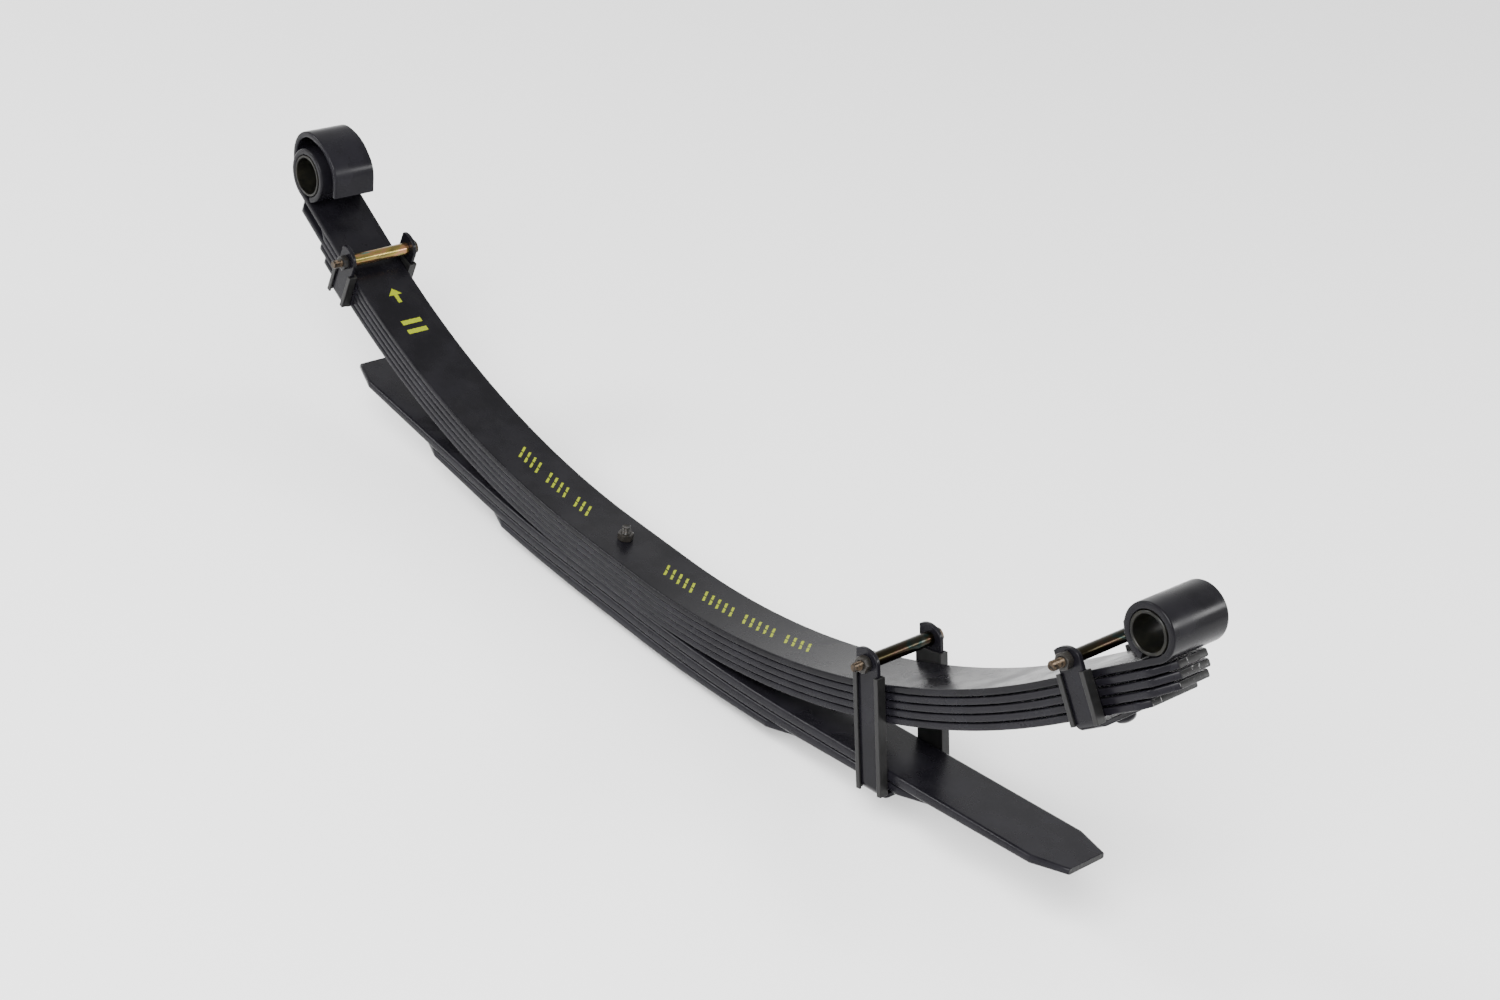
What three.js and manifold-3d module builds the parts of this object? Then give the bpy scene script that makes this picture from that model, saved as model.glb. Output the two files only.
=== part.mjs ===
// Leaf spring for a light truck's rear axle: five main leaves over three helper leaves,
// held together by a centre bolt and three clips. Millimetres.
// X runs along the spring with the front eye at -X, Y runs across it and Z is up.
// The origin is the bottom of the centre bolt's head, which drops into the hole of the axle's spring seat.
//
// Each main leaf is one bar of steel. It is divided here at two flex lines, so that its front and rear
// spans can swing as the bar bends: "seat" spans stay with the axle, "front" and "rear" spans move.

import * as THREE from 'three';
import { mergeVertices } from 'three/addons/utils/BufferGeometryUtils.js';
import Module from 'manifold-3d';

const wasm = await Module();
wasm.setup();

// ---------------------------------------------------------------- driving dimensions
const LEAF_WIDTH = 60;
const MAIN_LEAVES = 5;
const MAIN_THICKNESS = 6;
const HELPER_LEAVES = 3;
const HELPER_THICKNESS = 9.5;
const GAP = 0.3; // clearance between pieces that touch
const EDGE_BREAK = 1.2; // chamfer along the edges of a leaf
const ARC_STEP = 30; // length of one facet along a leaf's bend
const FLEX_GAP = 2; // space between two spans of one main leaf

const CENTRE_BOLT = {
  radius: 4,
  hole: 4.4,
  headRadius: 8,
  headHeight: 9,
  tipRadius: 3.4,
  rimRadius: 3.7, // burred rim of the cut end
  tipAt: 12, // heights above leaf 1
  endAt: 13.4,
};
const CENTRE_NUT = { acrossFlats: 13, height: 6.5 };
const CLIP_BOLT = { radius: 4, hole: 4.4, acrossFlats: 13, headHeight: 5.5, nutHeight: 6.5, point: 1 };
const RIVET = { radius: 4, hole: 4.4, headRadius: 8.5, headHeight: 5.5 };
const SPACER_BORE = 4.4;
const STRAP = { width: 24, thickness: 4, bendRadius: 5, headOffset: 3 };
const LINER = { wall: 2, hook: 4.5, belowBolt: 9.6, baseAboveSeat: 5.5, lipBelowSeat: 2.5 };

const HELPER_TOP = CENTRE_BOLT.headHeight + HELPER_LEAVES * (HELPER_THICKNESS + GAP) - GAP;
const MAIN_TOP = HELPER_TOP + MAIN_LEAVES * (MAIN_THICKNESS + GAP);

// Side view of half a leaf, measured from the centre bolt: a flat seat, an arc, then a straight end.
// "opening" is how far neighbouring leaves have spread apart by the end of the pack.
const MAIN_FRONT = {
  side: -1,
  flat: 24.6,
  radius: 845,
  bend: 418.1,
  top: MAIN_TOP,
  flexAt: 170,
  opening: 0.2,
  reach: 531,
};
const MAIN_REAR = {
  side: 1,
  flat: 56.3,
  radius: 719.5,
  bend: 491.2,
  top: MAIN_TOP,
  flexAt: 194,
  opening: 1.1,
  reach: 660,
};
const HELPER_FRONT = { side: -1, flat: 50, radius: 1400, bend: 126, top: HELPER_TOP };
const HELPER_REAR = { side: 1, flat: 67, radius: 1640, bend: 203, top: HELPER_TOP };

// Eyes of leaf 1: bore radius and the distance along the leaf where the curl starts.
const FRONT_EYE = { arm: MAIN_FRONT, at: 531, bore: 20.8, sleeveOuter: 20.3, sleeveInner: 18 };
const REAR_EYE = { arm: MAIN_REAR, at: 667.7, bore: 17.4, sleeveOuter: 16.9, sleeveInner: 14.3 };
const CURL_END = THREE.MathUtils.degToRad(227);
const CURL_STEPS = 24;
const SLEEVE_PROUD = 0.4; // a sleeve stands this far out of its eye on each side

// Leaf 2 wraps loosely over the front eye. Its middle line, along the leaf and away from it,
// starts under the eye's centre and runs outwards, up and back.
const WRAPPER = {
  width: 45,
  taperFrom: 475,
  taperTo: 505,
  line: [
    [14, -28.5], [25.5, -21.5], [33, -11.5], [38, 0], [37.5, 14],
    [28.5, 27], [12, 34], [-2.5, 35.3], [-18, 31.7], [-26, 28.3],
  ],
  end: [-37.5, 8.5],
  steps: 26,
};

// Ends of the plain leaves, measured along the pack from the centre bolt.
const BLUNT_CUT = { length: 18, side: 14 };
const SHORT_CUT = { length: 8, side: 5 };
const SPEAR_CUT = { length: 32, side: 10 };
const MAIN_ENDS = {
  2: { rear: 672, rearCut: BLUNT_CUT },
  3: { front: 536, frontCut: BLUNT_CUT, rear: 671, rearCut: BLUNT_CUT },
  4: { front: 493, frontCut: BLUNT_CUT, rear: 667, rearCut: BLUNT_CUT },
  5: { front: 480, frontCut: BLUNT_CUT, rear: 644, rearCut: SHORT_CUT },
};
const HELPER_ENDS = {
  6: { front: 403, rear: 568, flatter: 1 },
  7: { front: 286, rear: 425, flatter: 1 },
  8: { front: 173, rear: 267, flatter: 1.04 },
};
// A helper leaf is rolled thinner towards each tip.
const TAPER = [
  { fromTip: 150, thickness: HELPER_THICKNESS },
  { fromTip: 33, thickness: 7.5 },
  { fromTip: 0, thickness: 5.7 },
];

// Clips. "at" is where the strap's middle meets the underside of its leaf, "rise" is from there
// to the cross bolt along the strap's arms, and "lean" tips the arms towards +X. "crown" is the
// strap's height above the bolt, "side" its clearance beside the leaves and "slack" that below them.
// "spacer" is the spacer tube's outer radius, and "threadOut" how far the bolt stands out of its nut.
const CLIPS = [
  {
    name: 'front_clip',
    arm: MAIN_FRONT,
    leaf: 5,
    at: 423,
    rise: 45.5,
    lean: 19,
    crown: 13.5,
    side: 0.3,
    slack: 0.8,
    spacer: 6,
    threadOut: 9,
  },
  {
    name: 'middle_clip',
    arm: HELPER_REAR,
    leaf: 7,
    at: 370,
    rise: 110.5,
    lean: -14,
    crown: 12,
    side: 0.8,
    slack: 1.2,
    spacer: 6,
    threadOut: 7.5,
  },
  {
    name: 'rear_clip',
    arm: MAIN_REAR,
    leaf: 5,
    at: 589,
    rise: 47.4,
    lean: -35.5,
    crown: 10,
    side: 3.4,
    slack: 3,
    spacer: 5.3,
    threadOut: 11,
  },
];

// ---------------------------------------------------------------- materials
function finish(color, roughness, metalness) {
  return new THREE.MeshStandardMaterial({ color, roughness, metalness });
}

const paintedSteel = () => finish(0x17171a, 0.45, 0.3);
const linerPlastic = () => finish(0x101013, 0.6, 0);
const blackFastener = () => finish(0x0d0d0f, 0.35, 0.6);
const zincPlating = () => finish(0xa58a4a, 0.3, 0.9);
const sleeveSteel = () => finish(0x1d1d1c, 0.5, 0.5);

// ---------------------------------------------------------------- solids
function solid(geometry) {
  const bare = geometry.clone();
  bare.deleteAttribute('normal');
  bare.deleteAttribute('uv');
  const merged = mergeVertices(bare);
  return new wasm.Manifold(new wasm.Mesh({
    numProp: 3,
    vertProperties: merged.attributes.position.array,
    triVerts: new Uint32Array(merged.index.array),
  }));
}

function geometryOf(body) {
  const mesh = body.getMesh();
  const geometry = new THREE.BufferGeometry();
  geometry.setAttribute('position', new THREE.BufferAttribute(mesh.vertProperties, 3));
  geometry.setIndex(new THREE.BufferAttribute(mesh.triVerts, 1));
  const flat = geometry.toNonIndexed();
  flat.computeVertexNormals();
  return flat;
}

// Extrudes a flat outline equally to both sides of its plane, with chamfered rims if asked.
function slab(shape, depth, chamfer = 0, curveSegments = 8) {
  const geometry = new THREE.ExtrudeGeometry(shape, {
    depth: depth - 2 * chamfer,
    steps: 1,
    curveSegments,
    bevelEnabled: chamfer > 0,
    bevelThickness: chamfer,
    bevelSize: chamfer,
    bevelOffset: -chamfer,
    bevelSegments: 1,
  });
  return geometry.translate(0, 0, chamfer - depth / 2);
}

// Turns a slab whose outline lies in the side view (x, z) so that its depth runs across the spring.
function acrossSpring(geometry) {
  return geometry.rotateX(Math.PI / 2);
}

// A round bar along Z, from one height to another.
function bar(radius, from, to, segments = 16) {
  const geometry = new THREE.CylinderGeometry(radius, radius, to - from, segments);
  return geometry.rotateX(Math.PI / 2).translate(0, 0, (from + to) / 2);
}

// A hexagonal bar along Z, sized across its flats.
function hexBar(acrossFlats, from, to) {
  return bar(acrossFlats / 2 / Math.cos(Math.PI / 6), from, to, 6);
}

// ---------------------------------------------------------------- the line of a leaf
// Point in the side view at a distance along the top of the pack and a depth below it.
function linePoint(arm, distance, depth) {
  const slope = lineSlope(arm, distance);
  const flat = Math.min(distance, arm.flat);
  const straight = Math.max(distance - arm.flat - arm.bend, 0);
  const along = flat + arm.radius * Math.sin(slope) + straight * Math.cos(slope);
  const rise = arm.radius * (1 - Math.cos(slope)) + straight * Math.sin(slope);
  const x = arm.side * (along + depth * Math.sin(slope));
  return new THREE.Vector2(x, arm.top + rise - depth * Math.cos(slope));
}

function lineSlope(arm, distance) {
  return THREE.MathUtils.clamp(distance - arm.flat, 0, arm.bend) / arm.radius;
}

// Distances where a leaf's outline has corners, shared by all leaves of a pack so that they nest.
function stations(arm, from, to) {
  const steps = Math.round(arm.bend / ARC_STEP);
  const marks = Array.from({ length: steps + 1 }, (_, i) => arm.flat + (i * arm.bend) / steps);
  const inside = marks.filter((mark) => mark > from + 2 && mark < to - 2);
  return [from, ...inside, to];
}

// Upper and lower edge of one span of a leaf, from the bolt outwards.
function spanEdges(arm, marks, depthAt, thicknessAt) {
  const upper = marks.map((mark) => linePoint(arm, mark, depthAt(mark)));
  const lower = marks.map((mark) => linePoint(arm, mark, depthAt(mark) + thicknessAt(mark)));
  return { upper, lower };
}

function leafShape(upper, lower) {
  return new THREE.Shape([...upper, ...lower.slice().reverse()]);
}

// Wedges that cut the two corners off a leaf's end.
function cutCorners(body, arm, tip, depth, cut) {
  const overrun = 6;
  const grade = cut.side / cut.length;
  const inner = LEAF_WIDTH / 2 - cut.side;
  const corner = new THREE.Shape([
    new THREE.Vector2(overrun, inner - overrun * grade),
    new THREE.Vector2(overrun, LEAF_WIDTH / 2 + overrun * grade),
    new THREE.Vector2(-cut.length - overrun, LEAF_WIDTH / 2 + overrun * grade),
  ]);
  const point = linePoint(arm, tip, depth);
  const place = new THREE.Matrix4().makeTranslation(point.x, 0, point.y);
  place.multiply(new THREE.Matrix4().makeRotationY(-arm.side * lineSlope(arm, tip)));
  place.multiply(new THREE.Matrix4().makeRotationZ(arm.side > 0 ? 0 : Math.PI));
  const wedges = [0, Math.PI].map((turn) => slab(corner, LEAF_WIDTH).rotateX(turn).applyMatrix4(place));
  return wedges.reduce((left, wedge) => left.subtract(solid(wedge)), body);
}

// ---------------------------------------------------------------- main leaves
function mainDepth(arm, leaf) {
  return (distance) => (leaf - 1) * (MAIN_THICKNESS + GAP + arm.opening * (distance / arm.reach) ** 2);
}

function mainSpan(arm, leaf, from, to) {
  return spanEdges(arm, stations(arm, from, to), mainDepth(arm, leaf), () => MAIN_THICKNESS);
}

function seatSpan(leaf) {
  const front = mainSpan(MAIN_FRONT, leaf, 0, MAIN_FRONT.flexAt - FLEX_GAP / 2);
  const rear = mainSpan(MAIN_REAR, leaf, 0, MAIN_REAR.flexAt - FLEX_GAP / 2);
  const upper = [...front.upper.slice(1).reverse(), ...rear.upper.slice(1)];
  const lower = [...front.lower.slice(1).reverse(), ...rear.lower.slice(1)];
  const body = solid(acrossSpring(slab(leafShape(upper, lower), LEAF_WIDTH, EDGE_BREAK)));
  const hole = solid(bar(CENTRE_BOLT.hole, 0, MAIN_TOP + 10));
  return geometryOf(body.subtract(hole));
}

// Frame at the centre of an eye: "out" runs along the leaf and "up" stands square on it.
function eyeFrame(eye) {
  const slope = lineSlope(eye.arm, eye.at);
  return {
    centre: linePoint(eye.arm, eye.at, -eye.bore),
    out: new THREE.Vector2(eye.arm.side * Math.cos(slope), Math.sin(slope)),
    up: new THREE.Vector2(-eye.arm.side * Math.sin(slope), Math.cos(slope)),
  };
}

function inEyeFrame(frame, along, away) {
  return frame.centre.clone().addScaledVector(frame.out, along).addScaledVector(frame.up, away);
}

// Leaf 1 runs under the eye and curls up round it, almost back to its own top face.
function eyeLeaf(eye) {
  const frame = eyeFrame(eye);
  const { upper, lower } = mainSpan(eye.arm, 1, eye.arm.flexAt + FLEX_GAP / 2, eye.at);
  for (let step = 1; step <= CURL_STEPS; step++) {
    const angle = -Math.PI / 2 + (step * (CURL_END + Math.PI / 2)) / CURL_STEPS;
    const outer = eye.bore + MAIN_THICKNESS;
    upper.push(inEyeFrame(frame, eye.bore * Math.cos(angle), eye.bore * Math.sin(angle)));
    lower.push(inEyeFrame(frame, outer * Math.cos(angle), outer * Math.sin(angle)));
  }
  return acrossSpring(slab(leafShape(upper, lower), LEAF_WIDTH, EDGE_BREAK));
}

// Leaf 2 narrows under the front eye and goes on as the open wrapper.
function wrapperLeaf() {
  const arm = MAIN_FRONT;
  const depth = mainDepth(arm, 2);
  const broad = mainSpan(arm, 2, arm.flexAt + FLEX_GAP / 2, WRAPPER.taperTo);
  const broadBody = solid(acrossSpring(slab(leafShape(broad.upper, broad.lower), LEAF_WIDTH, EDGE_BREAK)));
  const taper = { length: WRAPPER.taperTo - WRAPPER.taperFrom, side: (LEAF_WIDTH - WRAPPER.width) / 2 };
  const narrowed = cutCorners(broadBody, arm, WRAPPER.taperTo, depth(WRAPPER.taperTo), taper);

  const frame = eyeFrame(FRONT_EYE);
  const half = MAIN_THICKNESS / 2;
  const start = [0, -FRONT_EYE.bore - depth(FRONT_EYE.at) - half];
  const knots = [start, ...WRAPPER.line].map(([along, away]) => new THREE.Vector2(along, away));
  const curve = new THREE.SplineCurve(knots);
  const middle = [...curve.getSpacedPoints(WRAPPER.steps), new THREE.Vector2(...WRAPPER.end)];
  const { upper, lower } = mainSpan(arm, 2, WRAPPER.taperTo - 4, FRONT_EYE.at);
  for (let i = 1; i < middle.length; i++) {
    const next = middle[Math.min(i + 1, middle.length - 1)];
    const heading = next.clone().sub(middle[i - 1]).normalize();
    const inwards = new THREE.Vector2(-heading.y, heading.x).multiplyScalar(half);
    const inner = middle[i].clone().add(inwards);
    const outer = middle[i].clone().sub(inwards);
    upper.push(inEyeFrame(frame, inner.x, inner.y));
    lower.push(inEyeFrame(frame, outer.x, outer.y));
  }
  const curl = solid(acrossSpring(slab(leafShape(upper, lower), WRAPPER.width, EDGE_BREAK)));
  return narrowed.add(curl);
}

function plainEnd(arm, leaf, tip, cut) {
  const { upper, lower } = mainSpan(arm, leaf, arm.flexAt + FLEX_GAP / 2, tip);
  const body = solid(acrossSpring(slab(leafShape(upper, lower), LEAF_WIDTH, EDGE_BREAK)));
  return cutCorners(body, arm, tip, mainDepth(arm, leaf)(tip), cut);
}

// ---------------------------------------------------------------- helper leaves
function helperLeaf(leaf, ends) {
  const depth = (leaf - MAIN_LEAVES - 1) * (HELPER_THICKNESS + GAP);
  const sides = [
    { arm: { ...HELPER_FRONT, radius: HELPER_FRONT.radius * ends.flatter }, tip: ends.front },
    { arm: { ...HELPER_REAR, radius: HELPER_REAR.radius * ends.flatter }, tip: ends.rear },
  ];
  const spans = sides.map(({ arm, tip }) => {
    const thickness = (distance) => {
      const left = tip - distance;
      const inner = left > TAPER[1].fromTip ? 0 : 1;
      const thick = TAPER[inner];
      const thin = TAPER[inner + 1];
      const share = (Math.min(left, thick.fromTip) - thin.fromTip) / (thick.fromTip - thin.fromTip);
      return THREE.MathUtils.lerp(thin.thickness, thick.thickness, share);
    };
    const bends = TAPER.map(({ fromTip }) => tip - fromTip).filter((mark) => mark > 0);
    const marks = [...new Set([...stations(arm, 0, tip), ...bends])].sort((a, b) => a - b);
    return spanEdges(arm, marks, () => depth, thickness);
  });
  const upper = [...spans[0].upper.slice(1).reverse(), ...spans[1].upper.slice(1)];
  const lower = [...spans[0].lower.slice(1).reverse(), ...spans[1].lower.slice(1)];
  const blank = solid(acrossSpring(slab(leafShape(upper, lower), LEAF_WIDTH, EDGE_BREAK)));
  const drilled = blank.subtract(solid(bar(CENTRE_BOLT.hole, 0, MAIN_TOP)));
  return sides.reduce((body, { arm, tip }) => cutCorners(body, arm, tip, depth, SPEAR_CUT), drilled);
}

// ---------------------------------------------------------------- sleeves and the centre bolt
function ring(outer, inner, depth, segments = 12) {
  const shape = new THREE.Shape().absarc(0, 0, outer, 0, 2 * Math.PI, false);
  shape.holes.push(new THREE.Path().absarc(0, 0, inner, 0, 2 * Math.PI, true));
  return slab(shape, depth, 0, segments);
}

function sleeve(eye) {
  return acrossSpring(ring(eye.sleeveOuter, eye.sleeveInner, LEAF_WIDTH + 2 * SLEEVE_PROUD));
}

// A body of revolution about Z from (radius, height) corners.
function turned(profile, segments = 16) {
  const corners = profile.map(([radius, height]) => new THREE.Vector2(radius, height));
  return new THREE.LatheGeometry(corners, segments).rotateX(Math.PI / 2);
}

function centreBolt() {
  const { radius, headRadius, headHeight, tipRadius, rimRadius, tipAt, endAt } = CENTRE_BOLT;
  const nutTop = MAIN_TOP + GAP + CENTRE_NUT.height;
  const headTop = headHeight - GAP;
  return turned([
    [0, 0], [headRadius, 0], [headRadius, headTop], [radius, headTop], [radius, nutTop],
    [tipRadius, nutTop], [tipRadius, MAIN_TOP + tipAt], [rimRadius, MAIN_TOP + tipAt],
    [rimRadius, MAIN_TOP + endAt], [0, MAIN_TOP + endAt],
  ]);
}

function hexNut(acrossFlats, hole, height) {
  const corner = acrossFlats / 2 / Math.cos(Math.PI / 6);
  const corners = Array.from({ length: 6 }, (_, i) => {
    const angle = (i * Math.PI) / 3;
    return new THREE.Vector2(corner * Math.cos(angle), corner * Math.sin(angle));
  });
  const shape = new THREE.Shape(corners);
  shape.holes.push(new THREE.Path().absarc(0, 0, hole, 0, 2 * Math.PI, true));
  return slab(shape, height);
}

// ---------------------------------------------------------------- clips
// A clip is built about its cross bolt: X along the spring, Y along the bolt, Z up its arms.
// Its seat frame lies on the underside of the leaf, turned to follow it.
function clipFrames(clip) {
  const { arm } = clip;
  const thickness = clip.leaf > MAIN_LEAVES ? HELPER_THICKNESS : MAIN_THICKNESS;
  const depth = clip.leaf > MAIN_LEAVES
    ? (clip.leaf - MAIN_LEAVES - 1) * (HELPER_THICKNESS + GAP)
    : mainDepth(arm, clip.leaf)(clip.at);
  const seat = linePoint(arm, clip.at, depth + thickness);
  const lean = THREE.MathUtils.degToRad(clip.lean);
  const tilt = arm.side * lineSlope(arm, clip.at) + lean;
  const bolt = new THREE.Vector3(
    seat.x + clip.rise * Math.sin(lean),
    0,
    seat.y + clip.rise * Math.cos(lean),
  );
  const toSeat = new THREE.Matrix4().makeTranslation(0, 0, -clip.rise);
  toSeat.multiply(new THREE.Matrix4().makeRotationY(-tilt));
  return { bolt, lean, toSeat, thickness };
}

// Half the space inside the strap: the leaf, its side clearance and the liner.
function innerHalf(clip) {
  return LEAF_WIDTH / 2 + clip.side + LINER.wall + GAP;
}

// Where the nut and the bolt's head bear on the strap.
function armFace(clip) {
  return innerHalf(clip) + STRAP.thickness + GAP;
}

// The strap: a U of flat bar round the pack, its arms drilled for the bolt. Each arm ends in
// part of an ellipse, which leaves a corner on its front side.
function strap(clip, toSeat) {
  const { width, thickness, bendRadius, headOffset } = STRAP;
  const half = innerHalf(clip);
  const reach = clip.rise + width;
  const bendAt = half - bendRadius;
  const bendHeight = bendRadius - clip.slack;
  const outline = new THREE.Shape();
  outline.moveTo(half + thickness, reach);
  outline.lineTo(half, reach);
  outline.absarc(bendAt, bendHeight, bendRadius, 0, -Math.PI / 2, true);
  outline.absarc(-bendAt, bendHeight, bendRadius, -Math.PI / 2, -Math.PI, true);
  outline.lineTo(-half, reach);
  outline.lineTo(-half - thickness, reach);
  outline.absarc(-bendAt, bendHeight, bendRadius + thickness, -Math.PI, -Math.PI / 2, false);
  outline.absarc(bendAt, bendHeight, bendRadius + thickness, -Math.PI / 2, 0, false);
  const acrossAndUp = new THREE.Matrix4().makeBasis(
    new THREE.Vector3(0, 1, 0), new THREE.Vector3(0, 0, 1), new THREE.Vector3(1, 0, 0),
  );
  const bent = slab(outline, 3 * width, 0, 3).applyMatrix4(acrossAndUp).applyMatrix4(toSeat);

  const headReach = width / 2 + headOffset;
  const corner = Math.acos((headOffset - width / 2) / headReach);
  const side = new THREE.Shape();
  side.moveTo(-width / 2, -reach);
  side.lineTo(width / 2, -reach);
  side.absellipse(-headOffset, 0, headReach, clip.crown, 0, corner, false, 0);
  side.holes.push(new THREE.Path().absarc(0, 0, CLIP_BOLT.hole, 0, 2 * Math.PI, true));
  const band = acrossSpring(slab(side, 4 * half, 0, 8));
  const hole = bar(RIVET.hole, -3 * thickness, 2 * thickness).applyMatrix4(toSeat);
  return geometryOf(solid(bent).intersect(solid(band)).subtract(solid(hole)));
}

// A channel between the strap and the leaves' edges, hooked round the strap's arm. Its lips
// reach further down than its base, past the strap's bend.
function liner(clip, side) {
  const base = innerHalf(clip) - GAP - LINER.wall;
  const lip = STRAP.width / 2 + GAP;
  const outer = lip + LINER.wall;
  const hookFace = armFace(clip);
  const hookTop = hookFace + LINER.wall;
  const hookEnd = outer - LINER.hook;
  const section = new THREE.Shape([
    [-outer, base], [outer, base], [outer, hookTop], [hookEnd, hookTop], [hookEnd, hookFace],
    [lip, hookFace], [lip, base + LINER.wall], [-lip, base + LINER.wall], [-lip, hookFace],
    [-hookEnd, hookFace], [-hookEnd, hookTop], [-outer, hookTop],
  ].map(([x, y]) => new THREE.Vector2(x, y)));
  const bottom = -clip.rise - LINER.lipBelowSeat;
  const baseBottom = LINER.baseAboveSeat - clip.rise;
  const channel = slab(section, -LINER.belowBolt - bottom);
  channel.translate(0, 0, (bottom - LINER.belowBolt) / 2);
  const notch = new THREE.BoxGeometry(2 * lip, 2 * LINER.wall + 2 * GAP, 2 * (baseBottom - bottom));
  notch.translate(0, base + LINER.wall / 2, bottom);
  const cut = geometryOf(solid(channel).subtract(solid(notch)));
  return side > 0 ? cut : cut.rotateZ(Math.PI);
}

// The cross bolt lies along Y with its head on the far side.
function clipBolt(clip) {
  const { radius, acrossFlats, headHeight, nutHeight, point } = CLIP_BOLT;
  const face = armFace(clip);
  const end = face + nutHeight + clip.threadOut;
  const shank = turned([
    [0, -face - 1], [radius, -face - 1], [radius, end - point], [radius - point, end], [0, end],
  ]);
  const head = hexBar(acrossFlats, -face - headHeight, -face);
  return geometryOf(solid(shank).add(solid(head))).rotateX(Math.PI / 2);
}

function clipNut(clip) {
  const { acrossFlats, hole, nutHeight } = CLIP_BOLT;
  return acrossSpring(hexNut(acrossFlats, hole, nutHeight)).translate(0, -armFace(clip) - nutHeight / 2, 0);
}

function spacerTube(clip) {
  return acrossSpring(ring(clip.spacer, SPACER_BORE, 2 * (innerHalf(clip) - GAP), 8));
}

// A domed rivet holds the strap's base to the leaf above it.
function rivet(clip, toSeat, leafThickness) {
  const { radius, headRadius, headHeight } = RIVET;
  const headTop = -clip.slack - STRAP.thickness - GAP;
  const dome = Array.from({ length: 4 }, (_, i) => {
    const angle = (i * Math.PI) / 8;
    return [headRadius * Math.sin(angle), headTop - headHeight * Math.cos(angle)];
  });
  const shankTop = leafThickness - GAP;
  const profile = [...dome, [headRadius, headTop], [radius, headTop], [radius, shankTop], [0, shankTop]];
  return turned(profile).applyMatrix4(toSeat);
}

function rivetHole(clip, frames) {
  const place = new THREE.Matrix4().makeTranslation(frames.bolt.x, 0, frames.bolt.z);
  place.multiply(new THREE.Matrix4().makeRotationY(frames.lean)).multiply(frames.toSeat);
  return solid(bar(RIVET.hole, -frames.thickness / 2, 1.5 * frames.thickness).applyMatrix4(place));
}

// ---------------------------------------------------------------- assembly
const spring = new THREE.Group();

function addPiece(name, geometry, material, parent = spring) {
  const mesh = new THREE.Mesh(geometry, material);
  mesh.name = name;
  parent.add(mesh);
  return mesh;
}

const clipPlaces = new Map(CLIPS.map((clip) => [clip, clipFrames(clip)]));

// Drills a leaf for the rivet of any clip that hangs on it at this side of the spring.
function drillForRivets(body, leaf, side) {
  const hung = CLIPS.filter((clip) => clip.leaf === leaf && clip.arm.side === side);
  return hung.reduce((left, clip) => left.subtract(rivetHole(clip, clipPlaces.get(clip))), body);
}

addPiece('leaf_1_front', eyeLeaf(FRONT_EYE), paintedSteel());
addPiece('leaf_1_rear', eyeLeaf(REAR_EYE), paintedSteel());
addPiece('leaf_2_front', geometryOf(wrapperLeaf()), paintedSteel());
for (let leaf = 1; leaf <= MAIN_LEAVES; leaf++) {
  addPiece(`leaf_${leaf}_seat`, seatSpan(leaf), paintedSteel());
}
for (const [number, ends] of Object.entries(MAIN_ENDS)) {
  const leaf = Number(number);
  if (ends.front) {
    const front = plainEnd(MAIN_FRONT, leaf, ends.front, ends.frontCut);
    addPiece(`leaf_${leaf}_front`, geometryOf(drillForRivets(front, leaf, -1)), paintedSteel());
  }
  const rear = plainEnd(MAIN_REAR, leaf, ends.rear, ends.rearCut);
  addPiece(`leaf_${leaf}_rear`, geometryOf(drillForRivets(rear, leaf, 1)), paintedSteel());
}
for (const [number, ends] of Object.entries(HELPER_ENDS)) {
  const leaf = Number(number);
  addPiece(`leaf_${leaf}`, geometryOf(drillForRivets(helperLeaf(leaf, ends), leaf, 1)), paintedSteel());
}

for (const [name, eye] of [['front_sleeve', FRONT_EYE], ['rear_sleeve', REAR_EYE]]) {
  const piece = addPiece(name, sleeve(eye), sleeveSteel());
  const { centre } = eyeFrame(eye);
  piece.position.set(centre.x, 0, centre.y);
}

addPiece('centre_bolt', centreBolt(), blackFastener());
const centreNutShape = hexNut(CENTRE_NUT.acrossFlats, CENTRE_BOLT.hole, CENTRE_NUT.height);
const centreNut = addPiece('centre_nut', centreNutShape, blackFastener());
centreNut.position.z = MAIN_TOP + GAP + CENTRE_NUT.height / 2;

for (const clip of CLIPS) {
  const { bolt, lean, toSeat, thickness } = clipPlaces.get(clip);
  const group = new THREE.Group();
  group.position.copy(bolt);
  group.rotation.y = lean;
  spring.add(group);
  addPiece(`${clip.name}_strap`, strap(clip, toSeat), paintedSteel(), group);
  addPiece(`${clip.name}_liner_near`, liner(clip, -1), linerPlastic(), group);
  addPiece(`${clip.name}_liner_far`, liner(clip, 1), linerPlastic(), group);
  addPiece(`${clip.name}_bolt`, clipBolt(clip), blackFastener(), group);
  addPiece(`${clip.name}_nut`, clipNut(clip), blackFastener(), group);
  addPiece(`${clip.name}_spacer`, spacerTube(clip), zincPlating(), group);
  addPiece(`${clip.name}_rivet`, rivet(clip, toSeat, thickness), blackFastener(), group);
}

export default spring;
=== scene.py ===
# %% [markdown]
# # A leaf spring, finished in Blender
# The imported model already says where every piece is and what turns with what. This lesson gives the
# pieces their real surfaces: rolled bars with round edges, cut threads, chipped paint and plated tubes.
# Everything is in metres, in the model's own frame, so nothing has to be fitted by eye.

# %% Load the frame
import math
import bmesh
import bpy
from mathutils import Matrix, Vector


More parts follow.
